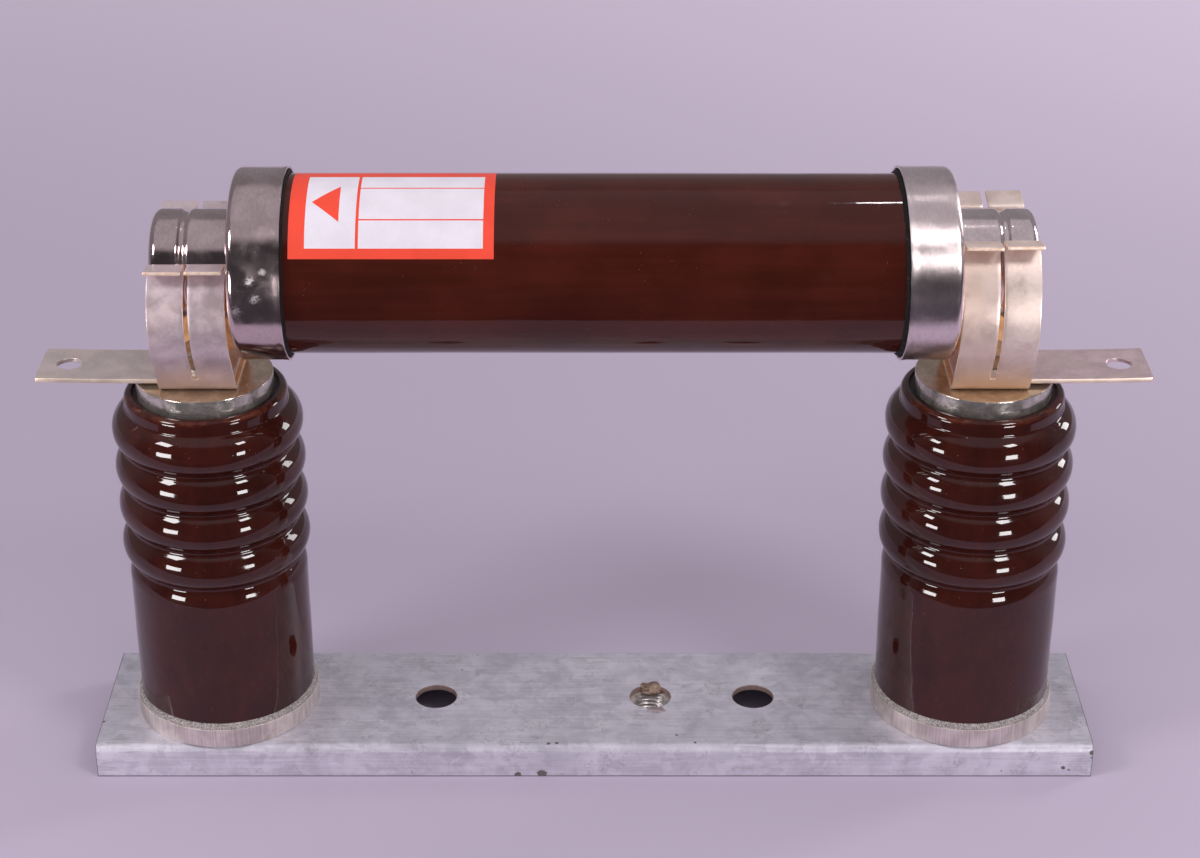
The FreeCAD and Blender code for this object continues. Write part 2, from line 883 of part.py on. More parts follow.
# Contact cap: drawn in one piece, a wide skirt over the tube and a narrow contact
def make_cap(side, sign):
    body = new_body(f"{side}_contact_cap")
    profile = sketch_on(body, "XZ_Plane")
    wall = d.cap_wall
    skirt = cap_radius
    rim = half_link - d.cap_skirt
    corner = d.cap_corner
    flare = d.cap_rim_flare
    end_corner = d.contact_corner
    inner_bore = contact_radius - wall

    # the soft groove pressed round the contact: two convex bends and a hollow between them
    bend = d.groove_bend
    depth = d.groove_depth
    middle = half_link + d.groove_centre
    half = root(bend * depth * 4 - depth * depth)
    shoulder_r = contact_radius - bend
    hollow_r = contact_radius - depth + bend
    meet_r = (shoulder_r + hollow_r) / 2
    slope = half / (bend * 2)
    small = bend - wall
    inner_meet_r = shoulder_r + small * (hollow_r - shoulder_r) / (bend * 2)
    opening = d.striker_pin_diameter / 2 + d.striker_hole_clearance if sign < 0 else as_size(0)
    outline(
        profile,
        [
            (rim, skirt - wall + flare),
            (rim, skirt + flare),
            (rim + wall * 2, skirt),
            (half_link - corner, skirt, half_link - corner, skirt - corner, -1),
            (half_link, skirt - corner),
            (half_link, contact_radius),
            (middle - half, contact_radius, middle - half, shoulder_r, -1),
            (middle - half + slope * bend, meet_r, middle, hollow_r, 1),
            (middle + half - slope * bend, meet_r, middle + half, shoulder_r, -1),
            (middle + half, contact_radius),
            (
                contact_end - end_corner,
                contact_radius,
                contact_end - end_corner,
                contact_radius - end_corner,
                -1,
            ),
            (contact_end, contact_radius - end_corner),
            (contact_end, opening),
            (contact_end - wall, opening),
            (
                contact_end - wall,
                contact_radius - end_corner,
                contact_end - end_corner,
                contact_radius - end_corner,
                1,
            ),
            (contact_end - end_corner, inner_bore),
            (middle + half, inner_bore, middle + half, shoulder_r, 1),
            (middle + half - slope * small, inner_meet_r, middle, hollow_r, -1),
            (middle - half + slope * small, inner_meet_r, middle - half, shoulder_r, 1),
            (middle - half, inner_bore),
            (plate_face, inner_bore),
            (
                plate_face,
                skirt - corner,
                half_link - corner,
                skirt - corner,
                1,
            ),
            (half_link - corner, skirt - wall),
            (rim + wall * 2, skirt - wall),
        ],
    )
    revolve(body, profile, "H_Axis")
    place(body, z=axis_height, half_turn=sign < 0)
    pieces.append(body)


# Cap seal: the sleeve between tube and skirt, with a gasket against the end of the tube
def make_cap_seal(side, sign):
    body = new_body(f"{side}_cap_seal")
    profile = sketch_on(body, "XZ_Plane")
    outside = cap_radius - d.cap_wall
    tube = tube_radius
    edge = d.tube_end_round
    mouth = half_link - d.cap_skirt + d.cap_wall * 2 + d.seal_inset
    inner = d.cap_corner - d.cap_wall
    outline(
        profile,
        [
            (mouth, tube),
            (tube_end - edge, tube, tube_end - edge, tube - edge, -1),
            (tube_end, tube - edge),
            (tube_end, tube - d.tube_wall),
            (plate_face, tube - d.tube_wall),
            (
                plate_face,
                outside - inner,
                plate_face - inner,
                outside - inner,
                1,
            ),
            (plate_face - inner, outside),
            (mouth, outside),
        ],
    )
    revolve(body, profile, "H_Axis")
    place(body, z=axis_height, half_turn=sign < 0)
    pieces.append(body)


# Contact plate: carries the elements and the core, soldered in the bore of the contact
def make_contact_plate(side, sign):
    body = new_body(f"{side}_contact_plate")
    profile = sketch_on(body, "YZ_Plane")
    circle(profile, 0, 0, contact_radius - d.cap_wall)
    if sign < 0:
        circle(profile, 0, 0, striker_outside)
    pad(body, profile, d.contact_plate_thickness)
    place(body, x=plate_face * sign, z=axis_height, half_turn=sign < 0)
    pieces.append(body)


# Winding core: a six pointed ceramic star with a bore down the middle
def make_core():
    body = new_body("winding_core")
    profile = sketch_on(body, "YZ_Plane")
    points = SIZES["core_ribs"] * 2
    corners = []
    for k in range(points):
        radius = d.core_tip_diameter / 2 if k % 2 == 0 else d.core_valley_diameter / 2
        angle = 360 * k / points
        corners.append((radius * cosine(angle), radius * sine(angle)))
    outline(profile, corners)
    circle(profile, 0, 0, striker_outside + d.core_bore_clearance)
    pad(body, profile, plate_face * 2, symmetric=True)
    place(body, z=axis_height)
    pieces.append(body)


def ribbon(first_rib):
    """A flat silver ribbon wound from rib to rib of the core, with a dead step at each end."""
    ribs = SIZES["core_ribs"]
    low = d.core_tip_diameter.value / 2
    high = low + d.element_thickness.value
    half = d.element_width.value / 2
    reach = plate_face.value - half
    steps = ribs * SIZES["element_turns"]
    stations = [(-reach, -1)]
    for k in range(steps + 1):
        stations.append((-reach + 2 * reach * k / steps, k))
    stations.append((reach, steps + 1))
    rings = []
    for x, k in stations:
        angle = 2 * math.pi * (first_rib + k) / ribs
        ring = []
        for radius, along in ((low, -half), (low, half), (high, half), (high, -half)):
            ring.append(
                FreeCAD.Vector(x + along, radius * math.cos(angle), radius * math.sin(angle))
            )
        rings.append(ring)
    faces = []
    for a, b in zip(rings, rings[1:]):
        for i in range(4):
            j = (i + 1) % 4
            faces.append(Part.Face(Part.makePolygon([a[i], a[j], b[j], a[i]])))
            faces.append(Part.Face(Part.makePolygon([a[i], b[j], b[i], a[i]])))
    for end in (rings[0], rings[-1]):
        faces.append(Part.Face(Part.makePolygon(end + end[:1])))
    shell = Part.Shell(faces)
    shell.sewShape()
    solid = Part.Solid(shell)
    if solid.Volume < 0:
        solid.reverse()
    solid.translate(FreeCAD.Vector(0, 0, axis_height.value))
    return solid


# Fuse elements: silver ribbons wound side by side on the core
def make_elements():
    count = SIZES["element_count"]
    ribbons = []
    for k in range(count):
        ribbons.append(ribbon(SIZES["core_ribs"] * k // count))
    pieces.append(solid_piece("fuse_elements", Part.Compound(ribbons)))


# Quartz sand: the packed sleeve between the winding and the tube
def make_sand():
    body = new_body("quartz_sand")
    profile = sketch_on(body, "XZ_Plane")
    outside = tube_radius - d.tube_wall
    inside = d.core_tip_diameter / 2 + d.element_thickness + d.sand_clearance
    outline(
        profile,
        [
            (-plate_face, inside),
            (plate_face, inside),
            (plate_face, outside),
            (-plate_face, outside),
        ],
    )
    revolve(body, profile, "H_Axis")
    place(body, z=axis_height)
    pieces.append(body)


# Striker: a pin pushed out of the left contact by a spring once its wire melts
striker_front = contact_end - d.cap_wall
collar_front = striker_front - d.striker_travel
housing_floor = striker_front - d.striker_housing_length
collar_back = collar_front - d.striker_collar_length
wire_hole = d.striker_wire_diameter / 2 + d.striker_collar_clearance


def make_striker_housing():
    body = new_body("striker_housing")
    profile = sketch_on(body, "XZ_Plane")
    wall = d.striker_housing_wall
    outline(
        profile,
        [
            (housing_floor, wire_hole),
            (housing_floor + wall, wire_hole),
            (housing_floor + wall, striker_bore),
            (striker_front, striker_bore),
            (striker_front, striker_outside),
            (housing_floor, striker_outside),
        ],
    )
    revolve(body, profile, "H_Axis")
    place(body, z=axis_height, half_turn=True)
    pieces.append(body)


def make_striker_pin():
    body = new_body("striker_pin")
    profile = sketch_on(body, "XZ_Plane")
    rod = d.striker_pin_diameter / 2
    collar = d.striker_collar_diameter / 2
    tip = contact_end - d.striker_pin_rest
    outline(
        profile,
        [
            (collar_back, 0),
            (collar_back, collar),
            (collar_front, collar),
            (collar_front, rod),
            (tip - d.striker_pin_rest, rod),
            (tip, rod - d.striker_pin_rest),
            (tip, 0),
        ],
    )
    revolve(body, profile, "H_Axis")
    place(body, z=axis_height, half_turn=True)
    pieces.append(body)


def make_striker_spring():
    wire = d.striker_spring_wire.value / 2
    back = housing_floor.value + d.striker_housing_wall.value + wire
    front = collar_back.value - wire
    gap = d.striker_collar_clearance.value
    mean = striker_bore.value - gap - wire
    length = front - back - 2 * gap
    helix = Part.makeHelix(length / SIZES["striker_spring_turns"], length, mean)
    section = Part.Wire(
        Part.Circle(FreeCAD.Vector(mean, 0, 0), FreeCAD.Vector(0, 1, 0), wire).toShape()
    )
    coil = Part.Wire(helix.Edges).makePipeShell([section], True, True)
    coil.rotate(ORIGIN, FreeCAD.Vector(0, 1, 0), -90)
    coil.translate(FreeCAD.Vector(-back - gap, 0, axis_height.value))
    pieces.append(solid_piece("striker_spring", coil))


# Striker wire: runs down the core and holds the collar back until it melts
def make_striker_wire():
    body = new_body("striker_wire")
    profile = sketch_on(body, "YZ_Plane")
    circle(profile, 0, 0, d.striker_wire_diameter / 2)
    gap = d.striker_collar_clearance
    pad(body, profile, collar_back - gap + plate_face)
    place(body, x=gap - collar_back, z=axis_height)
    pieces.append(body)


make_base_channel()
make_earth_nut()
for side, sign in SIDES:
    make_foot_fitting(side, sign)
    make_foot_cement(side, sign)
    make_insulator(side, sign)
    make_top_cement(side, sign)
    make_top_fitting(side, sign)
    make_terminal_strap(side, sign)
    make_clip(side, sign)
make_fixings()
make_tube()
for side, sign in SIDES:
    make_cap(side, sign)
    make_cap_seal(side, sign)
    make_contact_plate(side, sign)
make_core()
make_elements()
make_sand()
make_striker_housing()
make_striker_pin()
make_striker_spring()
make_striker_wire()
doc.recompute()

for item in doc.Objects:
    if "Invalid" in item.State or "Error" in item.State:
        raise RuntimeError(f"{item.Name} failed: {item.State}")
os.makedirs("parts", exist_ok=True)
for piece in pieces:
    if piece.Shape.isNull() or not piece.Shape.isValid():
        raise RuntimeError(f"{piece.Label} has no valid shape")
for piece in pieces:
    piece.Shape.exportStep(f"parts/{piece.Label}.step")
print(len(pieces), "pieces written")
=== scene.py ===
import math

import bmesh
import bpy
from mathutils import Matrix, Vector, noise


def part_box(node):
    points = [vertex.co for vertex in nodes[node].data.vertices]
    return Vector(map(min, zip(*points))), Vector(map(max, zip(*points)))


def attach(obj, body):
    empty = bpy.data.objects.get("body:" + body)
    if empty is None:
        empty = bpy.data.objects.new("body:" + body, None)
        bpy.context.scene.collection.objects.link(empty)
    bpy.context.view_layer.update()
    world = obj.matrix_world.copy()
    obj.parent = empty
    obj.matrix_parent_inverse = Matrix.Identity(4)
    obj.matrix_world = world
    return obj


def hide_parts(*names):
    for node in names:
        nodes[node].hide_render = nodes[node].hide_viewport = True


# Fuse-link in its indoor fuse base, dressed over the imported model.
# X runs along the fuse axis, Y towards the rear, Z up. The pieces are given in millimetres,
# which MM turns into the scene's metres; floor, lamps and camera are given in metres.

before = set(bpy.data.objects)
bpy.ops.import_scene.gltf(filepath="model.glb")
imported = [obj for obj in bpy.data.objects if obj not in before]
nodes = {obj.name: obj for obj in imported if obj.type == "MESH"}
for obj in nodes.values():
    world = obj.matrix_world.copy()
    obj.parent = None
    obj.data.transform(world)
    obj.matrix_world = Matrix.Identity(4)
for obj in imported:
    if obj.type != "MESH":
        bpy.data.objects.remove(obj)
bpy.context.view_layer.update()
scene = bpy.context.scene
scene.view_settings.view_transform = "Standard"

MM = 0.001


def corners(node):
    """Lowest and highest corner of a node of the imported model, in millimetres."""
    low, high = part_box(node)
    return [v / MM for v in low], [v / MM for v in high]


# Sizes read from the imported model, where a piece has to meet it
AXIS_Z = (corners("fuse_tube")[0][2] + corners("fuse_tube")[1][2]) / 2
BASE_TOP = corners("base_channel")[1][2]
POST_BOTTOM = corners("left_insulator")[0][2]
POST_TOP = corners("left_insulator")[1][2]
DISC_TOP = corners("left_top_fitting")[1][2]
STRAP_TOP = corners("left_terminal_strap")[1][2]
STRAP_HALF = corners("left_terminal_strap")[1][1]

# Driving sizes of the pieces
SUPPORT_X = 163.5
CHANNEL_END, CHANNEL_HALF, SHEET = 217.5, 39.0, 2.5
HOLE_X, EARTH_X, HOLE_R, POST_BOLT_R = 71.0, 25.0, 9.2, 6.25
POST_R, POST_BORE_R = 38.2, 14.5
RING_R, RING_TOP = 40.0, BASE_TOP + 8.8
DISC_R, DISC_BOTTOM = 28.75, POST_TOP - 1.5
STRIP = 1.5
STRAP_OUT, STRAP_THICK, STRAP_HOLE_R = 68.2, 2.0, 5.25
TUBE_R, TUBE_BORE_R, TUBE_END = 36.85, 29.85, 143.0
SKIRT_R, SKIRT_RIM, HALF_LINK = 39.6, 124.5, 146.0
CONTACT_R, CONTACT_END, CAP_WALL = 22.5, 179.5, 1.4
GROOVE_X, PIN_HOLE_R = HALF_LINK + 20, 4.4

# Name, direction along X, place of the post and a number that tells the two sides' noise apart
SIDES = (("left", -1, -SUPPORT_X, 0), ("right", 1, SUPPORT_X, 1))


# Mesh helpers
def arc(cx, cy, radius, start, stop, steps):
    """Points of an arc, angles in degrees."""
    points = []
    for k in range(steps + 1):
        angle = math.radians(start + (stop - start) * k / steps)
        points.append((cx + radius * math.cos(angle), cy + radius * math.sin(angle)))
    return points


def circle(cx, radius, steps):
    """Points of a whole circle round a place on the X axis."""
    angles = [2 * math.pi * k / steps for k in range(steps)]
    return [(cx + radius * math.cos(angle), radius * math.sin(angle)) for angle in angles]


def swapped(points):
    """The points with their two coordinates exchanged."""
    return [(b, a) for a, b in points]


def rows_between(points, longest):
    """The same line with no step longer than the given one."""
    dense = [points[0]]
    for (ax, ay), (bx, by) in zip(points, points[1:]):
        count = max(1, math.ceil(math.hypot(bx - ax, by - ay) / longest))
        for k in range(1, count + 1):
            dense.append((ax + (bx - ax) * k / count, ay + (by - ay) * k / count))
    return dense


def smooth(mesh, sharp):
    """Smooth shading, but for edges sharper than an angle in degrees."""
    mesh.polygons.foreach_set("use_smooth", [True] * len(mesh.polygons))
    mesh.set_sharp_from_angle(angle=math.radians(sharp))
    return mesh


def mesh_from(name, points, faces, sharp=38):
    """A mesh from points in millimetres."""
    mesh = bpy.data.meshes.new(name)
    mesh.from_pydata([(x * MM, y * MM, z * MM) for x, y, z in points], [], faces)
    mesh.validate()
    return smooth(mesh, sharp)


def outward(mesh):
    """Turns the faces of a closed mesh outwards."""
    shell = bmesh.new()
    shell.from_mesh(mesh)
    bmesh.ops.recalc_face_normals(shell, faces=shell.faces)
    shell.to_mesh(mesh)
    shell.free()
    return smooth(mesh, 38)


def bands(rows, count, closed=True):
    """Faces between rings of points, with the last ring joined to the first where closed."""
    faces = []
    for row in range(rows if closed else rows - 1):
        here, after = row * count, (row + 1) % rows * count
        for k in range(count):
            j = (k + 1) % count
            faces.append((here + k, here + j, after + j, after + k))
    return faces


def sheet_faces(rows, columns):
    """Faces of an open sheet, from its number of faces each way."""
    faces = []
    for row in range(rows):
        for k in range(columns):
            a = row * (columns + 1) + k
            faces.append((a, a + 1, a + columns + 2, a + columns + 1))
    return faces


def turned(name, profile, steps, centre, axis, shift):
    """A closed turned form. Profile is (radius, height); shift is each point's unevenness."""
    points = []
    for radius, height in profile:
        for k in range(steps):
            angle = 2 * math.pi * k / steps
            c, s = math.cos(angle), math.sin(angle)
            r = radius + shift(c, s, radius, height)
            a, b = centre[0] + r * c, centre[1] + r * s
            points.append((a, b, height) if axis == "Z" else (height, a, b))
    return outward(mesh_from(name, points, bands(len(profile), steps)))


def waves(x, y, z, *sizes):
    """Unevenness at a place, the sum of noises given by height and width."""
    return sum(height * noise.noise(Vector((x, y, z)) / width) for height, width in sizes)


def piece(name, mesh, body, slot, *replaced, material=None):
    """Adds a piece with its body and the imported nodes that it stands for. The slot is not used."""
    obj = bpy.data.objects.new(name, mesh)
    scene.collection.objects.link(obj)
    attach(obj, body)
    if replaced:
        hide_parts(*replaced)
    if material:
        mesh.materials.append(material)
    return obj


def soften_edges(obj, width, angle):
    bevel = obj.modifiers.new("edges", "BEVEL")
    bevel.width = width * MM
    bevel.segments = 2
    bevel.limit_method = "ANGLE"
    bevel.angle_limit = math.radians(angle)


def evaluated_mesh(obj):
    bpy.context.view_layer.update()
    return bpy.data.meshes.new_from_object(obj.evaluated_get(bpy.context.evaluated_depsgraph_get()))


# Material helpers
class Wire:
    """An output of a node. Sums, differences and products of wires are made as math nodes."""

    def __init__(self, graph, socket):
        self.graph = graph
        self.socket = socket

    def __add__(self, other):
        return self.graph.math("ADD", self, other)

    def __sub__(self, other):
        return self.graph.math("SUBTRACT", self, other)

    def __rsub__(self, other):
        return self.graph.math("SUBTRACT", other, self)

    def __mul__(self, other):
        return self.graph.math("MULTIPLY", self, other)

    def __abs__(self):
        return self.graph.math("ABSOLUTE", self)


class Graph:
    """Builds the nodes of one tree."""

    def __init__(self, tree):
        self.tree = tree

    def node(self, kind, **settings):
        made = self.tree.nodes.new(kind)
        for key, value in settings.items():
            setattr(made, key, value)
        return made

    def feed(self, socket, value):
        if isinstance(value, Wire):
            self.tree.links.new(value.socket, socket)
        elif isinstance(value, tuple) and socket.type == "RGBA":
            socket.default_value = (*value, 1)
        else:
            socket.default_value = value

    def output(self, made, name, *values):
        """Feeds a node's first inputs and gives one of its outputs."""
        for socket, value in zip(made.inputs, values):
            self.feed(socket, value)
        return Wire(self, made.outputs[name])

    def math(self, operation, a, b=0.0, clamp=False):
        made = self.node("ShaderNodeMath", operation=operation, use_clamp=clamp)
        return self.output(made, 0, a, b)

    def most(self, *values):
        largest = values[0]
        for value in values[1:]:
            largest = self.math("MAXIMUM", largest, value)
        return largest

    def steps(self, value, low, high, out_low=0.0, out_high=1.0):
        """A smooth step from one value to another."""
        made = self.node("ShaderNodeMapRange", interpolation_type="SMOOTHSTEP")
        return self.output(made, "Result", value, low, high, out_low, out_high)

    def parts(self, vector):
        made = self.node("ShaderNodeSeparateXYZ")
        self.feed(made.inputs[0], vector)
        return [Wire(self, socket) for socket in made.outputs]


class Paint(Graph):
    """Builds one procedural material; lengths in its coordinates are millimetres."""

    def __init__(self, name):
        self.material = bpy.data.materials.new(name)
        self.material.use_nodes = True
        super().__init__(self.material.node_tree)
        place = self.node("ShaderNodeTexCoord").outputs["Object"]
        self.place = self.vector("MULTIPLY", Wire(self, place), (1 / MM, 1 / MM, 1 / MM))
        self.color = self.rough = self.normal = None

    def vector(self, operation, a, b=(0.0, 0.0, 0.0)):
        return self.output(self.node("ShaderNodeVectorMath", operation=operation), 0, a, b)

    def shifted(self, *offset):
        return self.vector("ADD", self.place, offset)

    def stretched(self, *lengths):
        """The coordinates divided by a length along each axis."""
        return self.vector("DIVIDE", self.place, lengths)

    def join(self, x, y, z):
        return self.output(self.node("ShaderNodeCombineXYZ"), 0, x, y, z)

    def around(self, axis, centre, along, across):
        """Coordinates that follow a turned form: its direction round the axis, and its height."""
        x, y, z = self.parts(self.vector("SUBTRACT", self.place, centre))
        ring = self.join(x, y, 0.0) if axis == "Z" else self.join(0.0, y, z)
        ring = self.vector("MULTIPLY", self.vector("NORMALIZE", ring), (across, across, across))
        height = self.math("DIVIDE", z if axis == "Z" else x, along)
        extra = self.join(0.0, 0.0, height) if axis == "Z" else self.join(height, 0.0, 0.0)
        return self.vector("ADD", ring, extra)

    def noise(self, scale, detail=4.0, rough=0.55, warp=0.0, place=None, output="Fac"):
        """Noise whose features are about the given size across."""
        made = self.node("ShaderNodeTexNoise")
        self.feed(made.inputs["Vector"], place or self.place)
        made.inputs["Scale"].default_value = 1 / scale
        made.inputs["Detail"].default_value = detail
        made.inputs["Roughness"].default_value = rough
        made.inputs["Distortion"].default_value = warp
        return Wire(self, made.outputs[output])

    def cells(self, scale, output="Distance", place=None):
        made = self.node("ShaderNodeTexVoronoi")
        self.feed(made.inputs["Vector"], place or self.place)
        made.inputs["Scale"].default_value = 1 / scale
        return Wire(self, made.outputs[output])

    def spot(self, centre, reach, soft, wobble):
        """1 near a point and 0 away from it, with an uneven edge."""
        away = self.node("ShaderNodeVectorMath", operation="DISTANCE")
        away = self.output(away, "Value", self.place, centre)
        away = away + wobble * (reach * 1.6) - reach * 0.8
        return self.steps(away, reach, reach - soft)

    def blend(self, share, a, b):
        made = self.node("ShaderNodeMix", data_type="RGBA")
        for number, value in ((0, share), (6, a), (7, b)):
            self.feed(made.inputs[number], value)
        return Wire(self, made.outputs[2])

    def tint(self, share, color):
        """Lays a colour over the present one."""
        self.color = self.blend(share, self.color, color)

    def bump(self, height, distance, strength=1.0):
        """Adds relief to the present one."""
        made = self.node("ShaderNodeBump")
        made.inputs["Strength"].default_value = strength
        made.inputs["Distance"].default_value = distance * MM
        self.feed(made.inputs["Height"], height)
        if self.normal:
            self.feed(made.inputs["Normal"], self.normal)
        self.normal = Wire(self, made.outputs["Normal"])

    def finish(self, **values):
        names = {
            "metal": "Metallic",
            "ior": "IOR",
            "aniso": "Anisotropic",
            "turn": "Anisotropic Rotation",
            "tangent": "Tangent",
            "level": "Specular IOR Level",
        }
        inputs = self.tree.nodes["Principled BSDF"].inputs
        self.feed(inputs["Base Color"], self.color)
        self.feed(inputs["Roughness"], self.rough)
        if self.normal:
            self.feed(inputs["Normal"], self.normal)
        for key, value in values.items():
            self.feed(inputs[names[key]], value)
        return self.material


# Materials
def glaze(name, axis, centre, streak, seed, dark, light):
    """Dark brown porcelain glaze: deep gloss, faint runs, pits and caught dust."""
    m = Paint(name)
    moved = m.shifted(seed * 31.0, seed * 11.0, seed * 7.0)
    cloud = m.noise(26, 3, 0.5, place=moved)
    runs = m.noise(1, 4, 0.6, place=m.around(axis, centre, *streak))
    m.color = m.blend(m.steps(cloud * 0.55 + runs * 0.45, 0.36, 0.66), dark, light)
    dust = m.steps(m.cells(1.5, place=moved), 0.13, 0.07)
    dust = dust * m.steps(m.noise(9, 2, 0.5, place=moved), 0.60, 0.68)
    m.tint(dust * 0.55, (0.30, 0.20, 0.17))
    pits = m.steps(m.cells(3.3, place=moved), 0.10, 0.05) * m.steps(cloud, 0.50, 0.60)
    m.tint(pits * 0.8, (0.012, 0.004, 0.003))
    m.rough = m.steps(m.noise(14, 5, 0.65, 0.6, place=moved), 0.50, 0.74) * 0.10 + 0.045
    m.bump(m.noise(9, 2, 0.45, place=moved), 0.10, 0.55)
    m.bump(1.0 - pits, 0.10, 0.7)
    return m


def post_glaze(name, x, seed):
    dark, light = (0.027, 0.0054, 0.0038), (0.045, 0.0086, 0.0056)
    m = glaze(name, "Z", (x, 0, 0), (14.0, 6.0), seed, dark, light)
    px, py, pz = m.parts(m.shifted(-x, 0, 0))
    # orange along the collar's top edge, partly thin glaze showing the orange body underneath and partly
    # a painted highlight
    edge = m.steps(pz, POST_TOP - 2.2, POST_TOP - 0.9) * m.steps(pz, POST_TOP + 0.1, POST_TOP - 0.3)
    m.tint(edge * m.steps(m.noise(7, 4, 0.6), 0.42, 0.66) * 0.5, (0.17, 0.045, 0.020))
    # the recess under the disc is unglazed and dusty, and painted dark as painted shade under the disc
    radius = m.math("SQRT", px * px + py * py)
    inside = m.steps(radius, 31.6, 30.9) * m.steps(pz, POST_TOP - 3, POST_TOP - 2.2)
    dust = m.steps(m.noise(1.6, 4, 0.7), 0.42, 0.66)
    m.tint(inside, m.blend(dust, (0.022, 0.010, 0.008), (0.075, 0.046, 0.040)))
    m.rough = m.rough + inside * 0.45
    return m.finish(ior=1.52, level=0.42)


def tube_glaze(name):
    dark, light = (0.040, 0.0070, 0.0040), (0.062, 0.0108, 0.0060)
    m = glaze(name, "X", (0, 0, AXIS_Z), (90.0, 7.0), 5, dark, light)
    return m.finish(ior=1.52, level=0.36)


def plated(name, light, dark, axis, centre, grooves, rough, bump, turn=0.25, metal=1.0, marks=None):
    """Nickel plating with fine turning lines round the axis, and a mottled tarnish."""
    m = Paint(name)
    lines = m.noise(1, 5, 0.7, place=m.around(axis, centre, *grooves))
    cloud = m.noise(11, 3, 0.5, 0.4)
    m.color = m.blend(m.steps(lines * 0.5 + cloud * 0.5, 0.34, 0.66), dark, light)
    specks = m.steps(m.cells(1.3), 0.12, 0.05) * m.steps(m.noise(5), 0.52, 0.60)
    m.tint(specks * 0.6, tuple(0.25 * v for v in dark))
    m.rough = m.steps(cloud, 0.40, 0.70) * 0.14 + rough + specks * 0.3
    if marks:
        marks(m)
    spread = 0.75
    if axis == "X":
        # the contact is polished by the jaws, the wide skirt keeps its turning lines
        skirt = m.steps(abs(m.parts(m.place)[0]), HALF_LINK + 0.5, HALF_LINK - 1.5)
        m.rough = m.rough * m.steps(skirt, 0.0, 1.0, 0.10 / rough, 1.0)
        spread = skirt * 0.75
        lines = lines * m.steps(skirt, 0.0, 1.0, 0.3, 1.0)
    m.bump(lines, bump, 0.5)
    m.bump(m.noise(12, 2, 0.4), 0.15, 0.35)
    tangent = m.output(m.node("ShaderNodeTangent", direction_type="RADIAL", axis=axis), "Tangent")
    return m.finish(metal=metal, aniso=spread, turn=turn, tangent=tangent)


# dull dried drops on the front of the left cap: place and reach
CAP_DROPS = (
    (-136.5, -38.4, 236.5, 3.0),
    (-134.6, -39.2, 229.5, 3.2),
    (-142.3, -39.0, 224.0, 3.4),
    (-131.0, -37.6, 240.5, 2.0),
)


def cap_drops(m):
    ragged = m.noise(2.4, 5, 0.7)
    dull = m.most(*[m.spot(place, reach, reach * 0.9, ragged) for *place, reach in CAP_DROPS])
    dull = dull * m.steps(m.noise(0.9, 3, 0.7), 0.30, 0.62)
    m.tint(dull * 0.8, (0.60, 0.60, 0.63))
    m.rough = m.rough + dull * 0.35


def spring_plating(name, light, dark, warm, seed):
    """Tin plated brass strip: champagne, clouded, with brown specks and warm patches."""
    m = Paint(name)
    moved = m.shifted(seed * 23.0, seed * 5.0, 0)
    cloud = m.noise(10, 6, 0.66, 0.5, place=moved)
    fine = m.noise(1.6, 4, 0.7, place=moved)
    m.tone = cloud * 0.7 + fine * 0.3
    m.color = m.blend(m.steps(m.tone, 0.36, 0.64), dark, light)
    m.tint(m.steps(m.noise(17, 3, 0.5, place=moved), 0.50, 0.70) * 0.55, warm)
    specks = m.steps(m.cells(1.1, place=moved), 0.16, 0.06)
    specks = specks * m.steps(m.noise(6, 3, 0.6, place=moved), 0.50, 0.62)
    m.tint(specks * 0.75, (0.17, 0.085, 0.045))
    m.rough = m.steps(cloud, 0.35, 0.7) * 0.14 + 0.36
    m.bump(fine, 0.02, 0.3)
    m.bump(m.noise(14, 2, 0.4, place=moved), 0.20, 0.3)
    return m


# light, dark and warm tone of each clip and of each strap
CLIP_TONES = {
    "left": ((0.72, 0.60, 0.62), (0.57, 0.47, 0.49), (0.66, 0.52, 0.49)),
    "right": ((0.88, 0.74, 0.67), (0.74, 0.59, 0.52), (0.82, 0.62, 0.50)),
}
STRAP_TONES = {
    "left": ((0.80, 0.70, 0.67), (0.67, 0.58, 0.55), (0.76, 0.62, 0.56)),
    "right": ((0.88, 0.70, 0.72), (0.72, 0.56, 0.57), (0.76, 0.62, 0.56)),
}


def clip_copper(side, seed):
    """Inside the jaws the plating is thin and the copper shows."""
    m = spring_plating(f"{side}_clip_copper", *CLIP_TONES[side], seed + 4)
    low = m.steps(m.parts(m.place)[2], AXIS_Z + 9, AXIS_Z + 4)
    m.tint(low, m.blend(m.steps(m.tone, 0.36, 0.64), (0.72, 0.36, 0.15), (0.95, 0.56, 0.28)))
    return m.finish(metal=0.5)


def clip_plating(side, sign, x, seed):
    m = spring_plating(f"{side}_clip_plating", *CLIP_TONES[side], seed + 2)
    px, pz = m.parts(m.place)[::2]
    if side == "right":
        # the finger next to the link is warmer
        m.tint(m.steps(px, x + 2, x - 14, 0.0, 0.55), (0.80, 0.60, 0.49))
    # the low end of the jaws and the foot are thinly plated and show the brass
    foot = m.steps(pz + m.noise(9, 4, 0.6) * 14.0, DISC_TOP + 28, DISC_TOP + 9)
    m.tint(foot * (0.85 if side == "right" else 0.40), (0.80, 0.56, 0.37))
    # the lips are rubbed and stained tan
    lip_z = AXIS_Z + 11.0 + 3.0 * sign
    tan = m.blend(m.steps(m.noise(2.6, 5, 0.7), 0.4, 0.62), (0.80, 0.68, 0.60), (0.58, 0.44, 0.35))
    m.tint(m.steps(pz, lip_z, lip_z + 2.4) * 0.6, tan)
    if side == "left":
        # flaked patch with bare copper near the left finger's top
        flake = m.spot((x - 10.5, -33.0, AXIS_Z + 1.5), 2.6, 1.6, m.noise(1.7, 4, 0.7))
        m.tint(flake * 0.7, (0.72, 0.45, 0.36))
    return m.finish(metal=0.62)


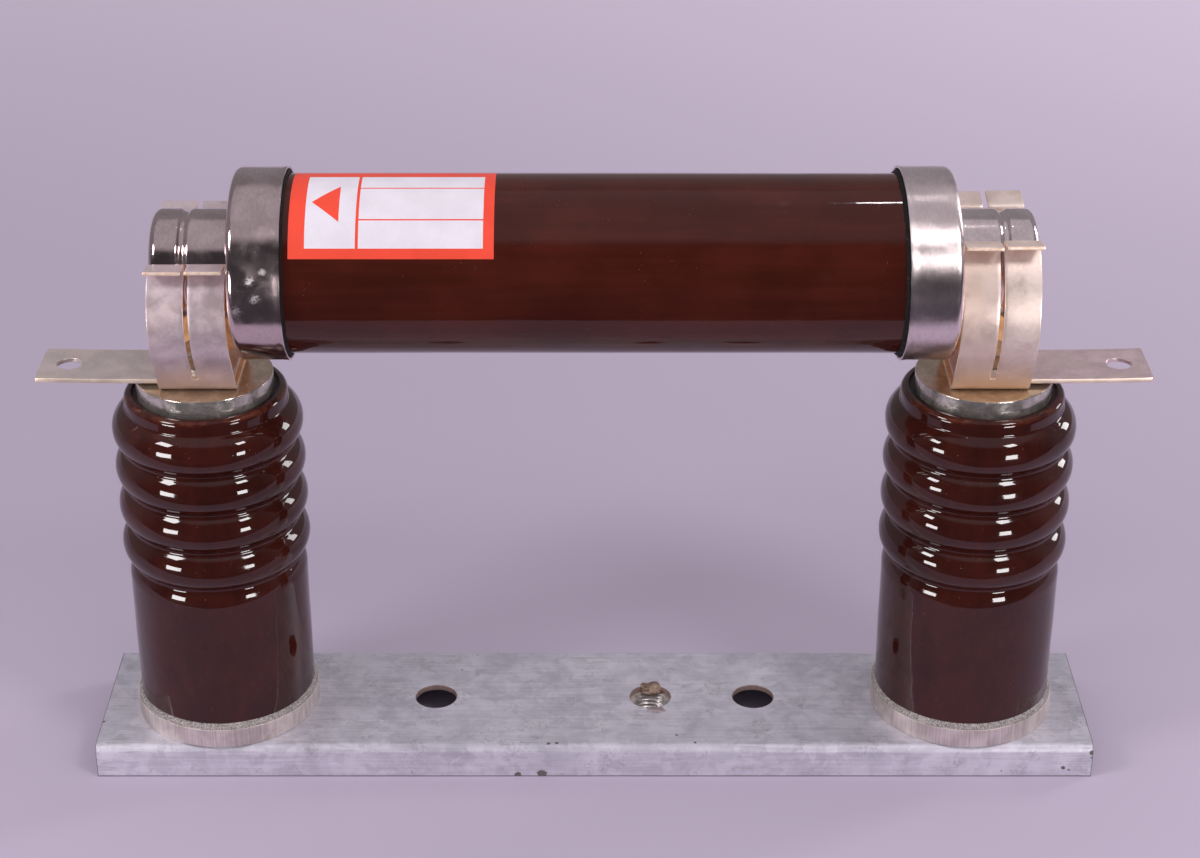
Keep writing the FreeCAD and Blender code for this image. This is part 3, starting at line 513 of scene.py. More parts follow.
def strap_plating(side, seed):
    m = spring_plating(f"{side}_strap_plating", *STRAP_TONES[side], seed + 6)
    m.bump(m.noise(1, 4, 0.6, place=m.stretched(30, 0.8, 0.8)), 0.03, 0.5)
    edge = m.steps(abs(m.parts(m.place)[1]), STRAP_HALF - 0.6, STRAP_HALF - 0.2)
    m.tint(edge * 0.75, (0.84, 0.68, 0.54))
    return m.finish(metal=0.7)


def disc_nickel(name):
    """Cast and plated disc: clouded nickel round its edge, its top face painted warm brown as a painted
    reflection of the clip's copper.
    """
    m = Paint(name)
    cloud = m.noise(6, 6, 0.7, 0.6)
    fine = m.noise(1.4, 5, 0.75)
    m.color = m.blend(m.steps(cloud, 0.38, 0.62), (0.40, 0.37, 0.34), (0.68, 0.63, 0.58))
    # painted reflection: the top face is painted warm brown where the clip's copper shows in it
    face = m.steps(m.parts(m.place)[2], DISC_TOP - 0.35, DISC_TOP - 0.1)
    m.tint(face, m.blend(m.steps(cloud, 0.36, 0.64), (0.50, 0.38, 0.27), (0.68, 0.56, 0.43)))
    m.tint(m.steps(fine, 0.56, 0.70) * (0.6 - face * 0.25), (0.11, 0.09, 0.075))
    m.rough = m.steps(cloud, 0.4, 0.7) * 0.14 + 0.15
    m.bump(fine, 0.07, 0.5)
    m.bump(cloud, 0.20, 0.35)
    return m.finish(metal=0.8)


# bare chips on the channel: place and size
CHIPS = (
    (-217.2, -37.0, 4.0, 0.9),
    (-217.0, -33.0, 15.2, 0.8),
    (-216.8, -20.0, 16.0, 0.9),
    (-33.5, -39.1, 0.6, 1.9),
    (-23.0, -39.1, 1.2, 2.3),
    (-20.0, -36.5, 15.9, 1.0),
    (-16.5, -36.3, 15.9, 0.9),
    (178.0, -39.0, 3.0, 0.6),
    (205.0, -39.1, 4.6, 1.1),
    (207.5, -39.1, 3.4, 0.7),
    (216.9, -39.0, 12.5, 1.2),
    (216.9, -38.6, 9.8, 0.7),
    (36.0, -30.5, 16.0, 0.8),
    (-60.5, 22.0, 16.0, 0.6),
    (44.0, -36.0, 15.9, 0.7),
)


def galvanised(name):
    """Dipped zinc sheet: soft spangles, rolling lines, stains and a few bare chips."""
    m = Paint(name)
    x, y, z = m.parts(m.place)
    drift = m.vector("SUBTRACT", m.noise(7, 3, 0.5, output="Color"), (0.5, 0.5, 0.5))
    warped = m.vector("ADD", m.place, m.vector("MULTIPLY", drift, (9.0, 9.0, 9.0)))
    cell = m.parts(m.cells(4.6, output="Color", place=warped))[0]
    cloud = m.noise(22, 6, 0.68, 0.7)
    lines = m.noise(1, 4, 0.6, place=m.stretched(30, 1.1, 1.1))
    tone = cell * 0.11 + cloud * 0.57 + lines * 0.32
    m.color = m.blend(m.steps(tone, 0.30, 0.68), (0.44, 0.425, 0.49), (0.66, 0.635, 0.71))
    white = m.steps(m.noise(5, 6, 0.75, 1.2), 0.56, 0.76)
    m.tint(white * 0.4, (0.76, 0.74, 0.80))
    dark = m.steps(m.noise(2.2, 5, 0.8, 2.0), 0.60, 0.70) * m.steps(m.noise(30), 0.42, 0.60)
    m.tint(dark * 0.42, (0.29, 0.28, 0.31))
    # thin crooked stains round the spangles, in patches
    worm = m.steps(abs(m.noise(4.5, 4, 0.6, 1.0) - 0.5), 0.034, 0.010)
    m.tint(worm * m.steps(m.noise(11, 3, 0.6), 0.55, 0.63) * 0.42, (0.24, 0.225, 0.25))
    # long faint scratches
    hair = abs(m.noise(1, 3, 0.5, place=m.stretched(60, 2.2, 2.2)) - 0.5)
    hair = m.steps(hair, 0.030, 0.008) * m.steps(m.noise(24, 3, 0.6), 0.53, 0.64)
    m.tint(hair * 0.35, (0.28, 0.27, 0.30))
    pin = m.steps(m.cells(2.6), 0.09, 0.04) * m.steps(m.noise(14), 0.50, 0.60)
    m.tint(pin * 0.8, (0.05, 0.045, 0.05))
    ragged = m.noise(1.2, 4, 0.7)
    chips = m.most(*[m.spot(place, reach, 0.35, ragged) for *place, reach in CHIPS])
    m.tint(chips * 0.9, (0.075, 0.060, 0.052))
    # the cut ends are bare and darker; the bottom 0.75 mm is darker too, partly the bare cut edge and
    # partly a painted contact shadow where the sheet meets the floor
    cut = m.most(m.steps(z, 0.75, 0.45), m.steps(abs(x), CHANNEL_END - 0.45, CHANNEL_END - 0.2))
    m.tint(cut * 0.8, (0.12, 0.11, 0.12))
    # drilled edges without zinc, rusty brown
    rims = []
    for hole_x in (-HOLE_X, EARTH_X, HOLE_X):
        off = x - hole_x
        rim = m.math("SQRT", off * off + y * y) + ragged * 0.8
        rims.append(m.steps(rim, HOLE_R + 0.75, HOLE_R + 0.4))
    rust = m.blend(ragged, (0.16, 0.075, 0.045), (0.42, 0.27, 0.21))
    m.tint(m.most(*rims) * 0.85, rust)
    m.rough = m.steps(tone, 0.3, 0.7) * 0.14 + 0.42 + m.most(chips, dark) * 0.25
    m.bump(m.noise(1, 4, 0.6, place=m.stretched(22, 0.8, 0.8)), 0.02, 0.4)
    m.bump(m.noise(26, 3, 0.5), 0.5, 0.4)
    m.bump(1.0 - chips, 0.18, 0.9)
    return m.finish(metal=m.math("SUBTRACT", 0.50 - white * 0.3, chips * 0.3, clamp=True))


def cement(name):
    """Set cement, fine grained, silvery where plating has run over it."""
    m = Paint(name)
    fine = m.noise(0.7, 5, 0.75)
    cloud = m.noise(6, 4, 0.6)
    m.color = m.blend(m.steps(fine, 0.38, 0.62), (0.10, 0.085, 0.08), (0.52, 0.47, 0.45))
    m.tint(m.steps(cloud, 0.52, 0.68) * 0.5, (0.50, 0.47, 0.45))
    grain = m.steps(m.cells(0.9), 0.22, 0.08) * m.steps(m.noise(3.0), 0.45, 0.6)
    m.tint(grain, (0.90, 0.86, 0.84))
    m.rough = 0.42
    m.bump(fine, 0.5)
    return m.finish(metal=m.steps(cloud, 0.40, 0.62) * 0.5 + grain * 0.4)


def seal_black(name):
    """Black sealing compound, granular with tiny bright grains."""
    m = Paint(name)
    fine = m.noise(0.55, 4, 0.7)
    lit = m.steps(m.cells(0.8), 0.20, 0.08) * m.steps(m.noise(2.0, 3, 0.6), 0.52, 0.64)
    m.color = m.blend(m.steps(fine, 0.35, 0.7), (0.004, 0.003, 0.004), (0.018, 0.013, 0.013))
    m.tint(lit, (0.34, 0.28, 0.28))
    m.rough = 0.66 - lit * 0.35
    m.bump(fine, 0.5)
    return m.finish(level=0.25)


def plain_metal(name, light, dark, rough=0.3, scale=5.0, metal=1.0):
    m = Paint(name)
    tone = m.noise(scale, 5, 0.65, 0.3)
    m.color = m.blend(m.steps(tone, 0.35, 0.65), dark, light)
    m.rough = tone * 0.15 + rough
    m.bump(m.noise(0.8, 4, 0.6), 0.03, 0.5)
    return m.finish(metal=metal)


def plain_mineral(name, light, dark, grain, rough, bump):
    m = Paint(name)
    tone = m.noise(grain, 5, 0.7)
    m.color = m.blend(m.steps(tone, 0.35, 0.65), dark, light)
    m.rough = rough
    m.bump(tone, bump, 0.8)
    return m.finish()


def weld_material(name):
    """A tack of weld, oxidised from straw through brown to violet grey."""
    m = Paint(name)
    tone = m.noise(2.2, 5, 0.7, 0.6)
    m.color = m.blend(m.steps(tone, 0.35, 0.55), (0.10, 0.055, 0.038), (0.30, 0.20, 0.14))
    m.tint(m.steps(m.noise(1.3, 4, 0.6), 0.50, 0.66), (0.27, 0.23, 0.24))
    m.rough = 0.42
    m.bump(tone, 0.4, 0.8)
    return m.finish(metal=0.5)


def print_ink(name, color, seed):
    """Printed gloss paper: faint fibre, slight fading."""
    m = Paint(name)
    moved = m.shifted(seed * 9.0, 0, 0)
    cloud = m.noise(12, 3, 0.5, place=moved)
    fine = m.noise(0.5, 3, 0.6, place=moved)
    faded, fresh = tuple(v * 0.93 for v in color), tuple(min(v * 1.05, 1) for v in color)
    m.color = m.blend(m.steps(cloud * 0.6 + fine * 0.4, 0.3, 0.7), faded, fresh)
    m.rough = cloud * 0.12 + 0.30
    m.bump(fine, 0.012, 0.5)
    return m.finish(ior=1.46)


# Insulators
def rib_line():
    """The ribbed flank of a post, from its foot chamfer to the collar's lip (radius, z)."""
    rise, sink, hollow, pitch, ribs = 2.0, 2.0, 2.0, 18.1, 4
    depth = rise + sink
    reach = (depth * depth + pitch * pitch / 4) / (2 * depth)
    bulge = reach - hollow
    bulge_r, hollow_r = POST_R + rise - bulge, POST_R - sink + hollow
    swing = math.degrees(math.atan2(pitch / 2, reach - depth))
    top_rib = POST_TOP - 15.8
    lowest = top_rib - pitch * (ribs - 1)
    low_valley = lowest - pitch / 2
    drop = 6.9
    shoulder = (drop * drop - hollow * hollow) / (2 * hollow)
    shoulder_r = POST_R - shoulder
    lean = math.degrees(math.atan2(drop, hollow_r - shoulder_r))
    collar_r, fillet, lip = POST_R - 3.9, 1.5, 2.6
    fillet_r, span = collar_r + fillet, bulge + fillet
    last_swing = math.degrees(math.acos((fillet_r - bulge_r) / span))
    line = [(POST_R, POST_BOTTOM + 1.5)]
    line += rows_between([(POST_R, POST_BOTTOM + 2.2), (POST_R, low_valley - drop - 0.5)], 1.6)
    line += arc(shoulder_r, low_valley - drop, shoulder, 0, lean, 8)
    line += arc(hollow_r, low_valley, hollow, 180 + lean, 180 - swing, 12)[1:]
    for k in range(ribs):
        z = lowest + pitch * k
        last = k == ribs - 1
        line += arc(bulge_r, z, bulge, -swing, last_swing if last else swing, 22)[1:]
        if not last:
            line += arc(hollow_r, z + pitch / 2, hollow, 180 + swing, 180 - swing, 10)[1:]
    fillet_z = top_rib + math.sqrt(span * span - (fillet_r - bulge_r) ** 2)
    line += arc(fillet_r, fillet_z, fillet, 180 + last_swing, 180, 8)[1:]
    line += arc(collar_r - lip, POST_TOP - lip, lip, 0, 90, 10)
    return line


def post_profile():
    """Section of a post with its two sockets (radius, z)."""
    recess_r, recess_z, socket_z, foot_socket_z = 31.0, DISC_BOTTOM, POST_TOP - 25, 39.5
    section = [(POST_BORE_R, POST_BOTTOM), (25.0, POST_BOTTOM), (POST_R - 1.5, POST_BOTTOM)]
    section += rib_line()
    section += [(recess_r + 0.1, POST_TOP), (recess_r, POST_TOP - 0.1)]
    section += [(recess_r, recess_z + 0.1), (recess_r - 0.1, recess_z), (22.0, recess_z)]
    section += [(POST_BORE_R, recess_z), (POST_BORE_R, socket_z), (0.01, socket_z)]
    section += [(0.01, foot_socket_z), (POST_BORE_R, foot_socket_z)]
    return section


for side, sign, x, seed in SIDES:

    def glaze_waves(c, s, radius, height, seed=seed):
        if radius < 30:
            return 0.0
        return waves(radius * c + seed * 91.0, radius * s, height, (0.16, 21), (0.05, 6))

    mesh = turned(f"{side}_post", post_profile(), 240, (x, 0), "Z", glaze_waves)
    look = post_glaze(f"{side}_post_glaze", x, seed + 1)
    piece(f"{side}_post", mesh, "fuse_base", "post_glaze", f"{side}_insulator", material=look)


# Foot rings and their cement
def ring_profile():
    """Section of a foot ring with its web and boss (radius, z)."""
    web, boss, boss_r, thread_r = BASE_TOP + 3, BASE_TOP + 21, 12, 6
    line = [(thread_r, BASE_TOP), (RING_R - 0.2, BASE_TOP), (RING_R, BASE_TOP + 0.2)]
    line += rows_between([(RING_R, BASE_TOP + 0.5), (RING_R, RING_TOP - 0.25)], 1.0)
    line += arc(RING_R - 0.2, RING_TOP - 0.2, 0.2, 0, 90, 4)
    line += [(RING_R - 0.75, RING_TOP), (RING_R - 0.88, RING_TOP - 0.12), (RING_R - 0.9, web)]
    return line + [(boss_r, web), (boss_r, boss), (thread_r, boss)]


def bead_profile():
    """Section of the cement that stands out of the ring (radius, z)."""
    line = [(38.0, RING_TOP - 1.5), (39.08, RING_TOP - 1.5), (39.08, RING_TOP - 0.05)]
    line += [(39.45, RING_TOP + 0.03), (39.38, RING_TOP + 0.5), (39.12, RING_TOP + 1.1)]
    return line + [(38.82, RING_TOP + 1.7), (38.5, RING_TOP + 2.25), (38.0, RING_TOP + 2.5)]


for side, sign, x, seed in SIDES:

    def ring_waves(c, s, radius, height, seed=seed):
        return waves(c * 6, s * 6, height / 6 + seed * 9, (0.07, 1)) if radius > 39 else 0.0

    def crumbs(c, s, radius, height, seed=seed):
        if height < RING_TOP + 0.1 or radius < 38.1:
            return 0.0
        return waves(c * 39, s * 39, height + seed * 50, (0.10, 1.1), (0.16, 5))

    mesh = turned(f"{side}_foot_ring", ring_profile(), 220, (x, 0), "Z", ring_waves)
    look = plated(
        f"{side}_ring_nickel",
        (0.80, 0.72, 0.69),
        (0.48, 0.41, 0.38),
        "Z",
        (x, 0, 0),
        (30.0, 70.0),
        rough=0.36,
        bump=0.05,
        turn=0.0,
        metal=0.75,
    )
    piece(f"{side}_foot_ring", mesh, "fuse_base", "foot_nickel", f"{side}_foot_fitting", material=look)
    mesh = turned(f"{side}_foot_bead", bead_profile(), 720, (x, 0), "Z", crumbs)
    look = cement(f"{side}_bead_cement")
    piece(f"{side}_foot_bead", mesh, "fuse_base", "foot_cement", material=look)


# Top fittings
def disc_profile():
    """Section of a top fitting, its disc and its tapped stem (radius, z)."""
    stem_r, stem_z, thread_r, thread_z = 12, DISC_BOTTOM - 22, 5, DISC_TOP - 14
    line = [(0.01, stem_z), (stem_r, stem_z), (stem_r, DISC_BOTTOM)]
    line += [(DISC_R - 0.35, DISC_BOTTOM), (DISC_R, DISC_BOTTOM + 0.35)]
    line += rows_between([(DISC_R, DISC_BOTTOM + 0.8), (DISC_R, DISC_TOP - 0.5)], 1.2)
    line += arc(DISC_R - 0.4, DISC_TOP - 0.4, 0.4, 0, 90, 5)
    line += rows_between([(27.6, DISC_TOP), (thread_r + 0.1, DISC_TOP)], 3.0)
    return line + [(thread_r, thread_z), (0.01, thread_z)]


for side, sign, x, seed in SIDES:

    def cast_waves(c, s, radius, height, seed=seed):
        if radius < 27.5:
            return 0.0
        return waves(c * 29, s * 29, height + seed * 40, (0.10, 7), (0.035, 1.6))

    mesh = turned(f"{side}_disc", disc_profile(), 260, (x, 0), "Z", cast_waves)
    look = disc_nickel(f"{side}_disc_nickel")
    piece(f"{side}_disc", mesh, "fuse_base", "disc_nickel", f"{side}_top_fitting", material=look)


# Clips
def clip_line():
    """Middle line of one jaw from the foot's middle to the lip's end (y, z), rear side."""
    inner, bend_inner, lip_inner, lip_length = CONTACT_R + 9.5, 5.5, 1.0, 9.6
    neck, foot, rise = 50.6, 29, 8
    neck_angle, foot_angle, rise_angle = (math.radians(v) for v in (neck, foot, rise))
    middle, outer = STRIP / 2, inner + STRIP
    span = inner + STRIP + lip_inner
    hold = CONTACT_R + 0.3 + lip_inner + STRIP
    lip_y = span * math.cos(neck_angle)
    lip_z = math.sqrt(hold * hold - lip_y * lip_y)
    arc_z = lip_z - span * math.sin(neck_angle)
    seat = DISC_TOP - AXIS_Z
    corner_y = (outer - (arc_z - seat) * math.sin(foot_angle)) / math.cos(foot_angle)
    bend_out = bend_inner + STRIP
    bend_y = corner_y - bend_out * math.tan((math.pi / 2 - foot_angle) / 2)
    line = [(0.0, seat + middle), (bend_y, seat + middle)]
    line += arc(bend_y, seat + bend_out, bend_inner + middle, -90, -foot, 12)[1:]
    line += arc(0, arc_z, inner + middle, -foot, neck, 34)
    line += arc(lip_y, lip_z, lip_inner + middle, 180 + neck, 90 + rise, 12)[1:]
    end_y = line[-1][0] + lip_length * math.cos(rise_angle)
    end_z = line[-1][1] + lip_length * math.sin(rise_angle)
    return rows_between(line + [(end_y, end_z)], 1.2)


# how each finger is bent: outwards (even and growing), twist, sideways, lift; front pair, rear pair
CLIP_BENDS = {
    "left": (
        (1.1, 0.9, 0.2, 0.25, -5.0),
        (1.1, 0.8, -0.2, -0.35, -4.9),
        (0.3, 0.0, 0.2, -0.9, -1.4),
        (0.2, 0.1, -0.2, -0.9, -1.5),
    ),
    "right": (
        (-0.4, -0.6, 0.2, 0.4, 2.7),
        (-0.3, -0.6, -0.2, -0.35, 3.1),
        (0.1, 0.1, 0.1, -1.2, 2.2),
        (0.3, 0.0, 0.2, -1.2, 2.4),
    ),
}
# places across the strip on one side of the slit, from its edge inwards
CLIP_COLUMNS = (16, 15.4, 13, 10, 7, 4.4, 2.6)


def clip_mesh(name, x, bends):
    """The strip's middle sheet with its slits, as rows across the strip's width."""
    half_line = clip_line()
    line = [(-y, z) for y, z in reversed(half_line[1:])] + half_line
    slit, slit_low, slit_end = 1.1, DISC_TOP - AXIS_Z + 7.5, 0.45
    slit_centre = slit_low + slit
    finger_length, half_width = 52, 16
    points = []
    for y, z in line:
        gap = slit_end
        if z >= slit_centre:
            gap = slit
        elif z >= slit_low:
            gap = max(slit_end, math.sqrt(max(0.0, slit**2 - (slit_centre - z) ** 2)))
        share = max(0.0, (z - slit_centre) / finger_length)
        turn = -1 if y < 0 else 1
        near = [-column for column in CLIP_COLUMNS] + [-gap]
        for column in near + [-column for column in reversed(near)]:
            out, grow, twist, sideways, lift = bends[(0 if y < 0 else 2) + (0 if column < 0 else 1)]
            out = out * share + grow * share * share + twist * share * (column / half_width)
            height = AXIS_Z + z + lift * share * share
            points.append((x + column + sideways * share, y + turn * out, height))
    columns = 2 * len(CLIP_COLUMNS) + 1
    faces = []
    for k, face in enumerate(sheet_faces(len(line) - 1, columns)):
        row, column = divmod(k, columns)
        in_slit = column == columns // 2 and min(line[row][1], line[row + 1][1]) >= slit_low - 0.3
        if not in_slit:
            faces.append(face)
    return mesh_from(name, points, faces, 80)


for side, sign, x, seed in SIDES:
    mesh = clip_mesh(f"{side}_spring_clip", x, CLIP_BENDS[side])
    obj = piece(f"{side}_spring_clip", mesh, "fuse_base", "clip_plating", f"{side}_clip")
    solid = obj.modifiers.new("thickness", "SOLIDIFY")
    solid.thickness = STRIP * MM
    solid.offset = 0.0
    solid.use_even_offset = True
    solid.material_offset = 1
    solid.material_offset_rim = 2
    soften_edges(obj, 0.22, 60)
    mesh.materials.append(clip_copper(side, seed))
    mesh.materials.append(clip_plating(side, sign, x, seed))
    edge = plain_metal(f"{side}_clip_edge", (0.97, 0.80, 0.66), (0.86, 0.60, 0.42), 0.32, 3.0, 0.5)
    mesh.materials.append(edge)


# Terminal straps
def closed_spline(curve, points):
    spline = curve.splines.new("POLY")
    spline.points.add(len(points) - 1)
    for point, (px, py) in zip(spline.points, points):
        point.co = (px * MM, py * MM, 0, 1)
    spline.use_cyclic_u = True


def strap_outline():
    """Outline of the bar, a rectangle with rounded corners."""
    rounding, steps = 1.0, 6
    corners = [(x, y) for y in (-STRAP_HALF, STRAP_HALF) for x in (-STRAP_HALF, STRAP_OUT)]
    corners = corners[:2] + corners[:1:-1]
    outline = []
    for k, (cx, cy) in enumerate(corners):
        before, after = corners[k - 1], corners[(k + 1) % 4]
        back = Vector((before[0] - cx, before[1] - cy)).normalized() * rounding
        ahead = Vector((after[0] - cx, after[1] - cy)).normalized() * rounding
        centre = Vector((cx, cy)) + back + ahead
        for step in range(steps + 1):
            angle = math.pi / 2 * step / steps
            spoke = -ahead * math.cos(angle) - back * math.sin(angle)
            outline.append((centre[0] + spoke[0], centre[1] + spoke[1]))
    return outline


def strap_mesh(name):
    """The flat bar lying on z = 0, with its inner end round x = 0 and softened edges."""
    edge = 0.3
    curve = bpy.data.curves.new(name, "CURVE")
    curve.dimensions = "2D"
    curve.fill_mode = "BOTH"
    closed_spline(curve, strap_outline())
    for hole_x in (0, STRAP_OUT - 12):
        closed_spline(curve, circle(hole_x, STRAP_HOLE_R, 64))
    curve.extrude = (STRAP_THICK / 2 - edge) * MM
    curve.bevel_depth = edge * MM
    curve.bevel_resolution = 2
    curve.offset = -edge * MM
    holder = bpy.data.objects.new(name, curve)
    scene.collection.objects.link(holder)
    mesh = evaluated_mesh(holder)
    bpy.data.objects.remove(holder)
    mesh.name = name
    return mesh


def bend_strap(mesh, side, x, seed):
    """Cuts the bar into short lengths, bends its outer end up and puts it in its place."""
    cuts, lengthwise, straight = 14, 82.2, 25
    rise = 0.5 if side == "left" else 0.8
    work = bmesh.new()
    work.from_mesh(mesh)
    for cut in range(1, cuts):
        place = ((-14 + lengthwise * cut / cuts) * MM, 0, 0)
        everything = work.verts[:] + work.edges[:] + work.faces[:]
        bmesh.ops.bisect_plane(work, geom=everything, plane_co=place, plane_no=(1, 0, 0))
    for v in work.verts:
        along = max(0.0, v.co.x / MM - straight) / (STRAP_OUT - straight)
        v.co.z += rise * MM * along * along
        v.co.z += 0.08 * MM * noise.noise(Vector((v.co.x * 40, seed * 7.0, 0)))
    if side == "left":
        half_turn = Matrix.Rotation(math.pi, 3, "Z")
        bmesh.ops.rotate(work, verts=work.verts, cent=(0, 0, 0), matrix=half_turn)
    middle_z = STRAP_TOP - STRAP_THICK / 2
    bmesh.ops.translate(work, verts=work.verts, vec=(x * MM, 0, middle_z * MM))
    bmesh.ops.recalc_face_normals(work, faces=work.faces)
    work.to_mesh(mesh)
    work.free()
    return smooth(mesh, 28)


for side, sign, x, seed in SIDES:
    mesh = bend_strap(strap_mesh(f"{side}_strap"), side, x, seed)
    look = strap_plating(side, seed)
    piece(f"{side}_strap", mesh, "fuse_base", "strap_plating", f"{side}_terminal_strap", material=look)


# Fuse tube
def tube_profile():
    """Section of the tube (radius, x)."""
    bore_end, round_end = TUBE_END - 0.1, TUBE_END - 1.0
    line = rows_between([(TUBE_BORE_R, -bore_end), (TUBE_BORE_R, bore_end)], 20)
    line += arc(TUBE_R - 1.0, round_end, 1.0, 90, 0, 4)
    line += rows_between([(TUBE_R, round_end - 1.0), (TUBE_R, 1.0 - round_end)], 2.0)[1:-1]
    return line + arc(TUBE_R - 1.0, -round_end, 1.0, 0, -90, 4)


def tube_waves(c, s, radius, height):
    if radius < 36:
        return 0.0
    return waves(c * 1.2, s * 1.2, height / 60, (0.10, 1)) + waves(c * 37, s * 37, height, (0.035, 14))


mesh = turned("glazed_tube", tube_profile(), 240, (0, AXIS_Z), "X", tube_waves)
piece("glazed_tube", mesh, "fuse_link", "tube_glaze", "fuse_tube", material=tube_glaze("tube_glaze"))


# Contact caps and their seals
def cap_profile(opening):
    """Section of a cap, (radius, distance from the link's middle)."""
    skirt, rim, wall = SKIRT_R, SKIRT_RIM, CAP_WALL
    bend, depth = 2.2, 1.2
    half = math.sqrt(bend * depth * 4 - depth * depth)
    shoulder_r, hollow_r = CONTACT_R - bend, CONTACT_R - depth + bend
    swing = math.degrees(math.asin(half / (2 * bend)))
    # the skirt's flared rim, its flank and the step to the contact
    line = [(skirt - 0.65, rim + 0.05), (skirt - 0.2, rim - 0.1)]
    line += [(skirt + 0.17, rim), (skirt + 0.25, rim + 0.3), (skirt + 0.22, rim + 1.0)]
    line += [(skirt + 0.14, rim + 1.8), (skirt + 0.05, rim + 2.5), (skirt, rim + 3.2)]
    line += rows_between([(skirt, rim + 4), (skirt, HALF_LINK - 3.2)], 1.2)
    line += swapped(arc(HALF_LINK - 3, skirt - 3, 3.0, 90, 0, 10))
    line += rows_between([(skirt - 3.6, HALF_LINK), (CONTACT_R + 1.2, HALF_LINK)], 2.0)
    line += swapped(arc(HALF_LINK + 0.8, CONTACT_R + 0.8, 0.8, 180, 270, 5))
    # the contact with its pressed groove
    line += rows_between([(CONTACT_R, HALF_LINK + 1.6), (CONTACT_R, GROOVE_X - half - 0.3)], 1.6)
    line += swapped(arc(GROOVE_X - half, shoulder_r, bend, 90, 90 - swing, 6))
    line += swapped(arc(GROOVE_X, hollow_r, bend, 270 - swing, 270 + swing, 10)[1:])
    line += swapped(arc(GROOVE_X + half, shoulder_r, bend, 90 + swing, 90, 6)[1:])
    line += rows_between([(CONTACT_R, GROOVE_X + half + 0.4), (CONTACT_R, CONTACT_END - 3.7)], 1.6)
    line += swapped(arc(CONTACT_END - 3.5, CONTACT_R - 3.5, 3.5, 90, 0, 12))
    line += rows_between([(CONTACT_R - 4.2, CONTACT_END), (opening + 0.3, CONTACT_END)], 2.5)
    # the inside, which leaves the pin's collar a hair's clearance at its stop
    stop_x = CONTACT_END - wall + 0.15
    line += [(opening, CONTACT_END - 0.3), (opening, stop_x), (CONTACT_R - 6.5, stop_x)]
    line += [(CONTACT_R - 3.5, CONTACT_END - wall)]
    line += swapped(arc(CONTACT_END - 3.5, CONTACT_R - 3.5, 3.5 - wall, 0, 90, 6))
    line += [(CONTACT_R - wall, GROOVE_X + 4), (CONTACT_R - wall - 0.9, GROOVE_X)]
    line += [(CONTACT_R - wall, GROOVE_X - 4), (CONTACT_R - wall, HALF_LINK - wall)]
    line += [(skirt - 3, HALF_LINK - wall)]
    line += swapped(arc(HALF_LINK - 3, skirt - 3, 3.0 - wall, 0, 90, 6))
    line += [(skirt - wall, rim + 4), (skirt - wall + 0.1, rim + 2.4)]
    return line + [(skirt - wall + 0.42, rim + 0.8)]


def seal_profile(run):
    """Section of the seal where it runs out of the skirt onto the tube."""
    line = [(TUBE_R + 0.02, 129.5), (TUBE_R + 0.04, 123.2 + run), (TUBE_R + 0.35, 122.95 + run)]
    line += [(TUBE_R + 0.75, 123.3 + run), (TUBE_R + 1.05, 123.8 + run / 2)]
    return line + [(TUBE_R + 1.35, 124.4), (TUBE_R + 1.4, 125.0), (38.1, 126.2), (38.15, 129.5)]


def squint(mesh):
    """The right cap's skirt sits a little askew on the tube, its front further out."""
    for v in mesh.vertices:
        y, z = v.co.y / MM, v.co.z / MM - AXIS_Z
        skirt = min(1.0, max(0.0, (math.hypot(y, z) - 27) / 8))
        v.co.x -= 1.2 * MM * skirt * (y + 0.35 * z) / SKIRT_R
    return smooth(mesh, 38)


CAP_LOOKS = {
    "left": {
        "light": (0.70, 0.57, 0.57),
        "dark": (0.54, 0.43, 0.43),
        "rough": 0.13,
        "bump": 0.015,
        "marks": cap_drops,
    },
    "right": {
        "light": (0.92, 0.80, 0.80),
        "dark": (0.74, 0.63, 0.63),
        "rough": 0.30,
        "bump": 0.10,
    },
}
for side, sign, x, seed in SIDES:

    def dents(c, s, radius, height, seed=seed):
        if radius < 21:
            return 0.0
        amount = 0.12 if radius > 30 else 0.05
        return waves(c * radius, s * radius, height + seed * 300, (amount, 19), (0.02, 5))

    def grit(c, s, radius, height, seed=seed):
        if radius < 37.0:
            return 0.0
        uneven = waves(c * 38, s * 38, height + seed * 300, (0.25, 1.3))
        if abs(height) < 124:
            uneven += min(0.0, 0.2 + waves(c * 38, s * 38, seed * 50, (1.6, 4)))
        return uneven

    cap_line = [(r, h * sign) for r, h in cap_profile(PIN_HOLE_R if side == "left" else 0.01)]
    seal_line = [(r, h * sign) for r, h in seal_profile(0.6 if side == "left" else 0.0)]
    cap = turned(f"{side}_cap", cap_line, 240, (0, AXIS_Z), "X", dents)
    seal = turned(f"{side}_seal", seal_line, 900, (0, AXIS_Z), "X", grit)
    if side == "right":
        squint(cap)
        squint(seal)
    look = plated(
        f"{side}_cap_nickel",
        axis="X",
        centre=(0, 0, AXIS_Z),
        grooves=(1.1, 14.0),
        **CAP_LOOKS[side],
    )
    piece(f"{side}_cap", cap, "fuse_link", "cap_nickel", f"{side}_contact_cap", material=look)
    piece(f"{side}_seal", seal, "fuse_link", "black_seal", material=seal_black(f"{side}_seal_black"))


# Label
def on_tube(x, angle, lift):
    """A point above the tube's surface; angles run from the front over the top, in degrees."""
    angle = math.radians(angle)
    return (x, -(TUBE_R + lift) * math.cos(angle), AXIS_Z + (TUBE_R + lift) * math.sin(angle))


def patch(x0, x1, low, high, lift, columns, rows):
    """A sheet on the tube's surface between two places along X and two angles."""
    points = []
    for r in range(rows + 1):
        angle = low + (high - low) * r / rows
        for c in range(columns + 1):
            x = x0 + (x1 - x0) * c / columns
            wave = 0.02 * noise.noise(Vector((x / 9, math.radians(angle) * 4, 0)))
            points.append(on_tube(x, angle, lift + wave))
    return points, sheet_faces(rows, columns)


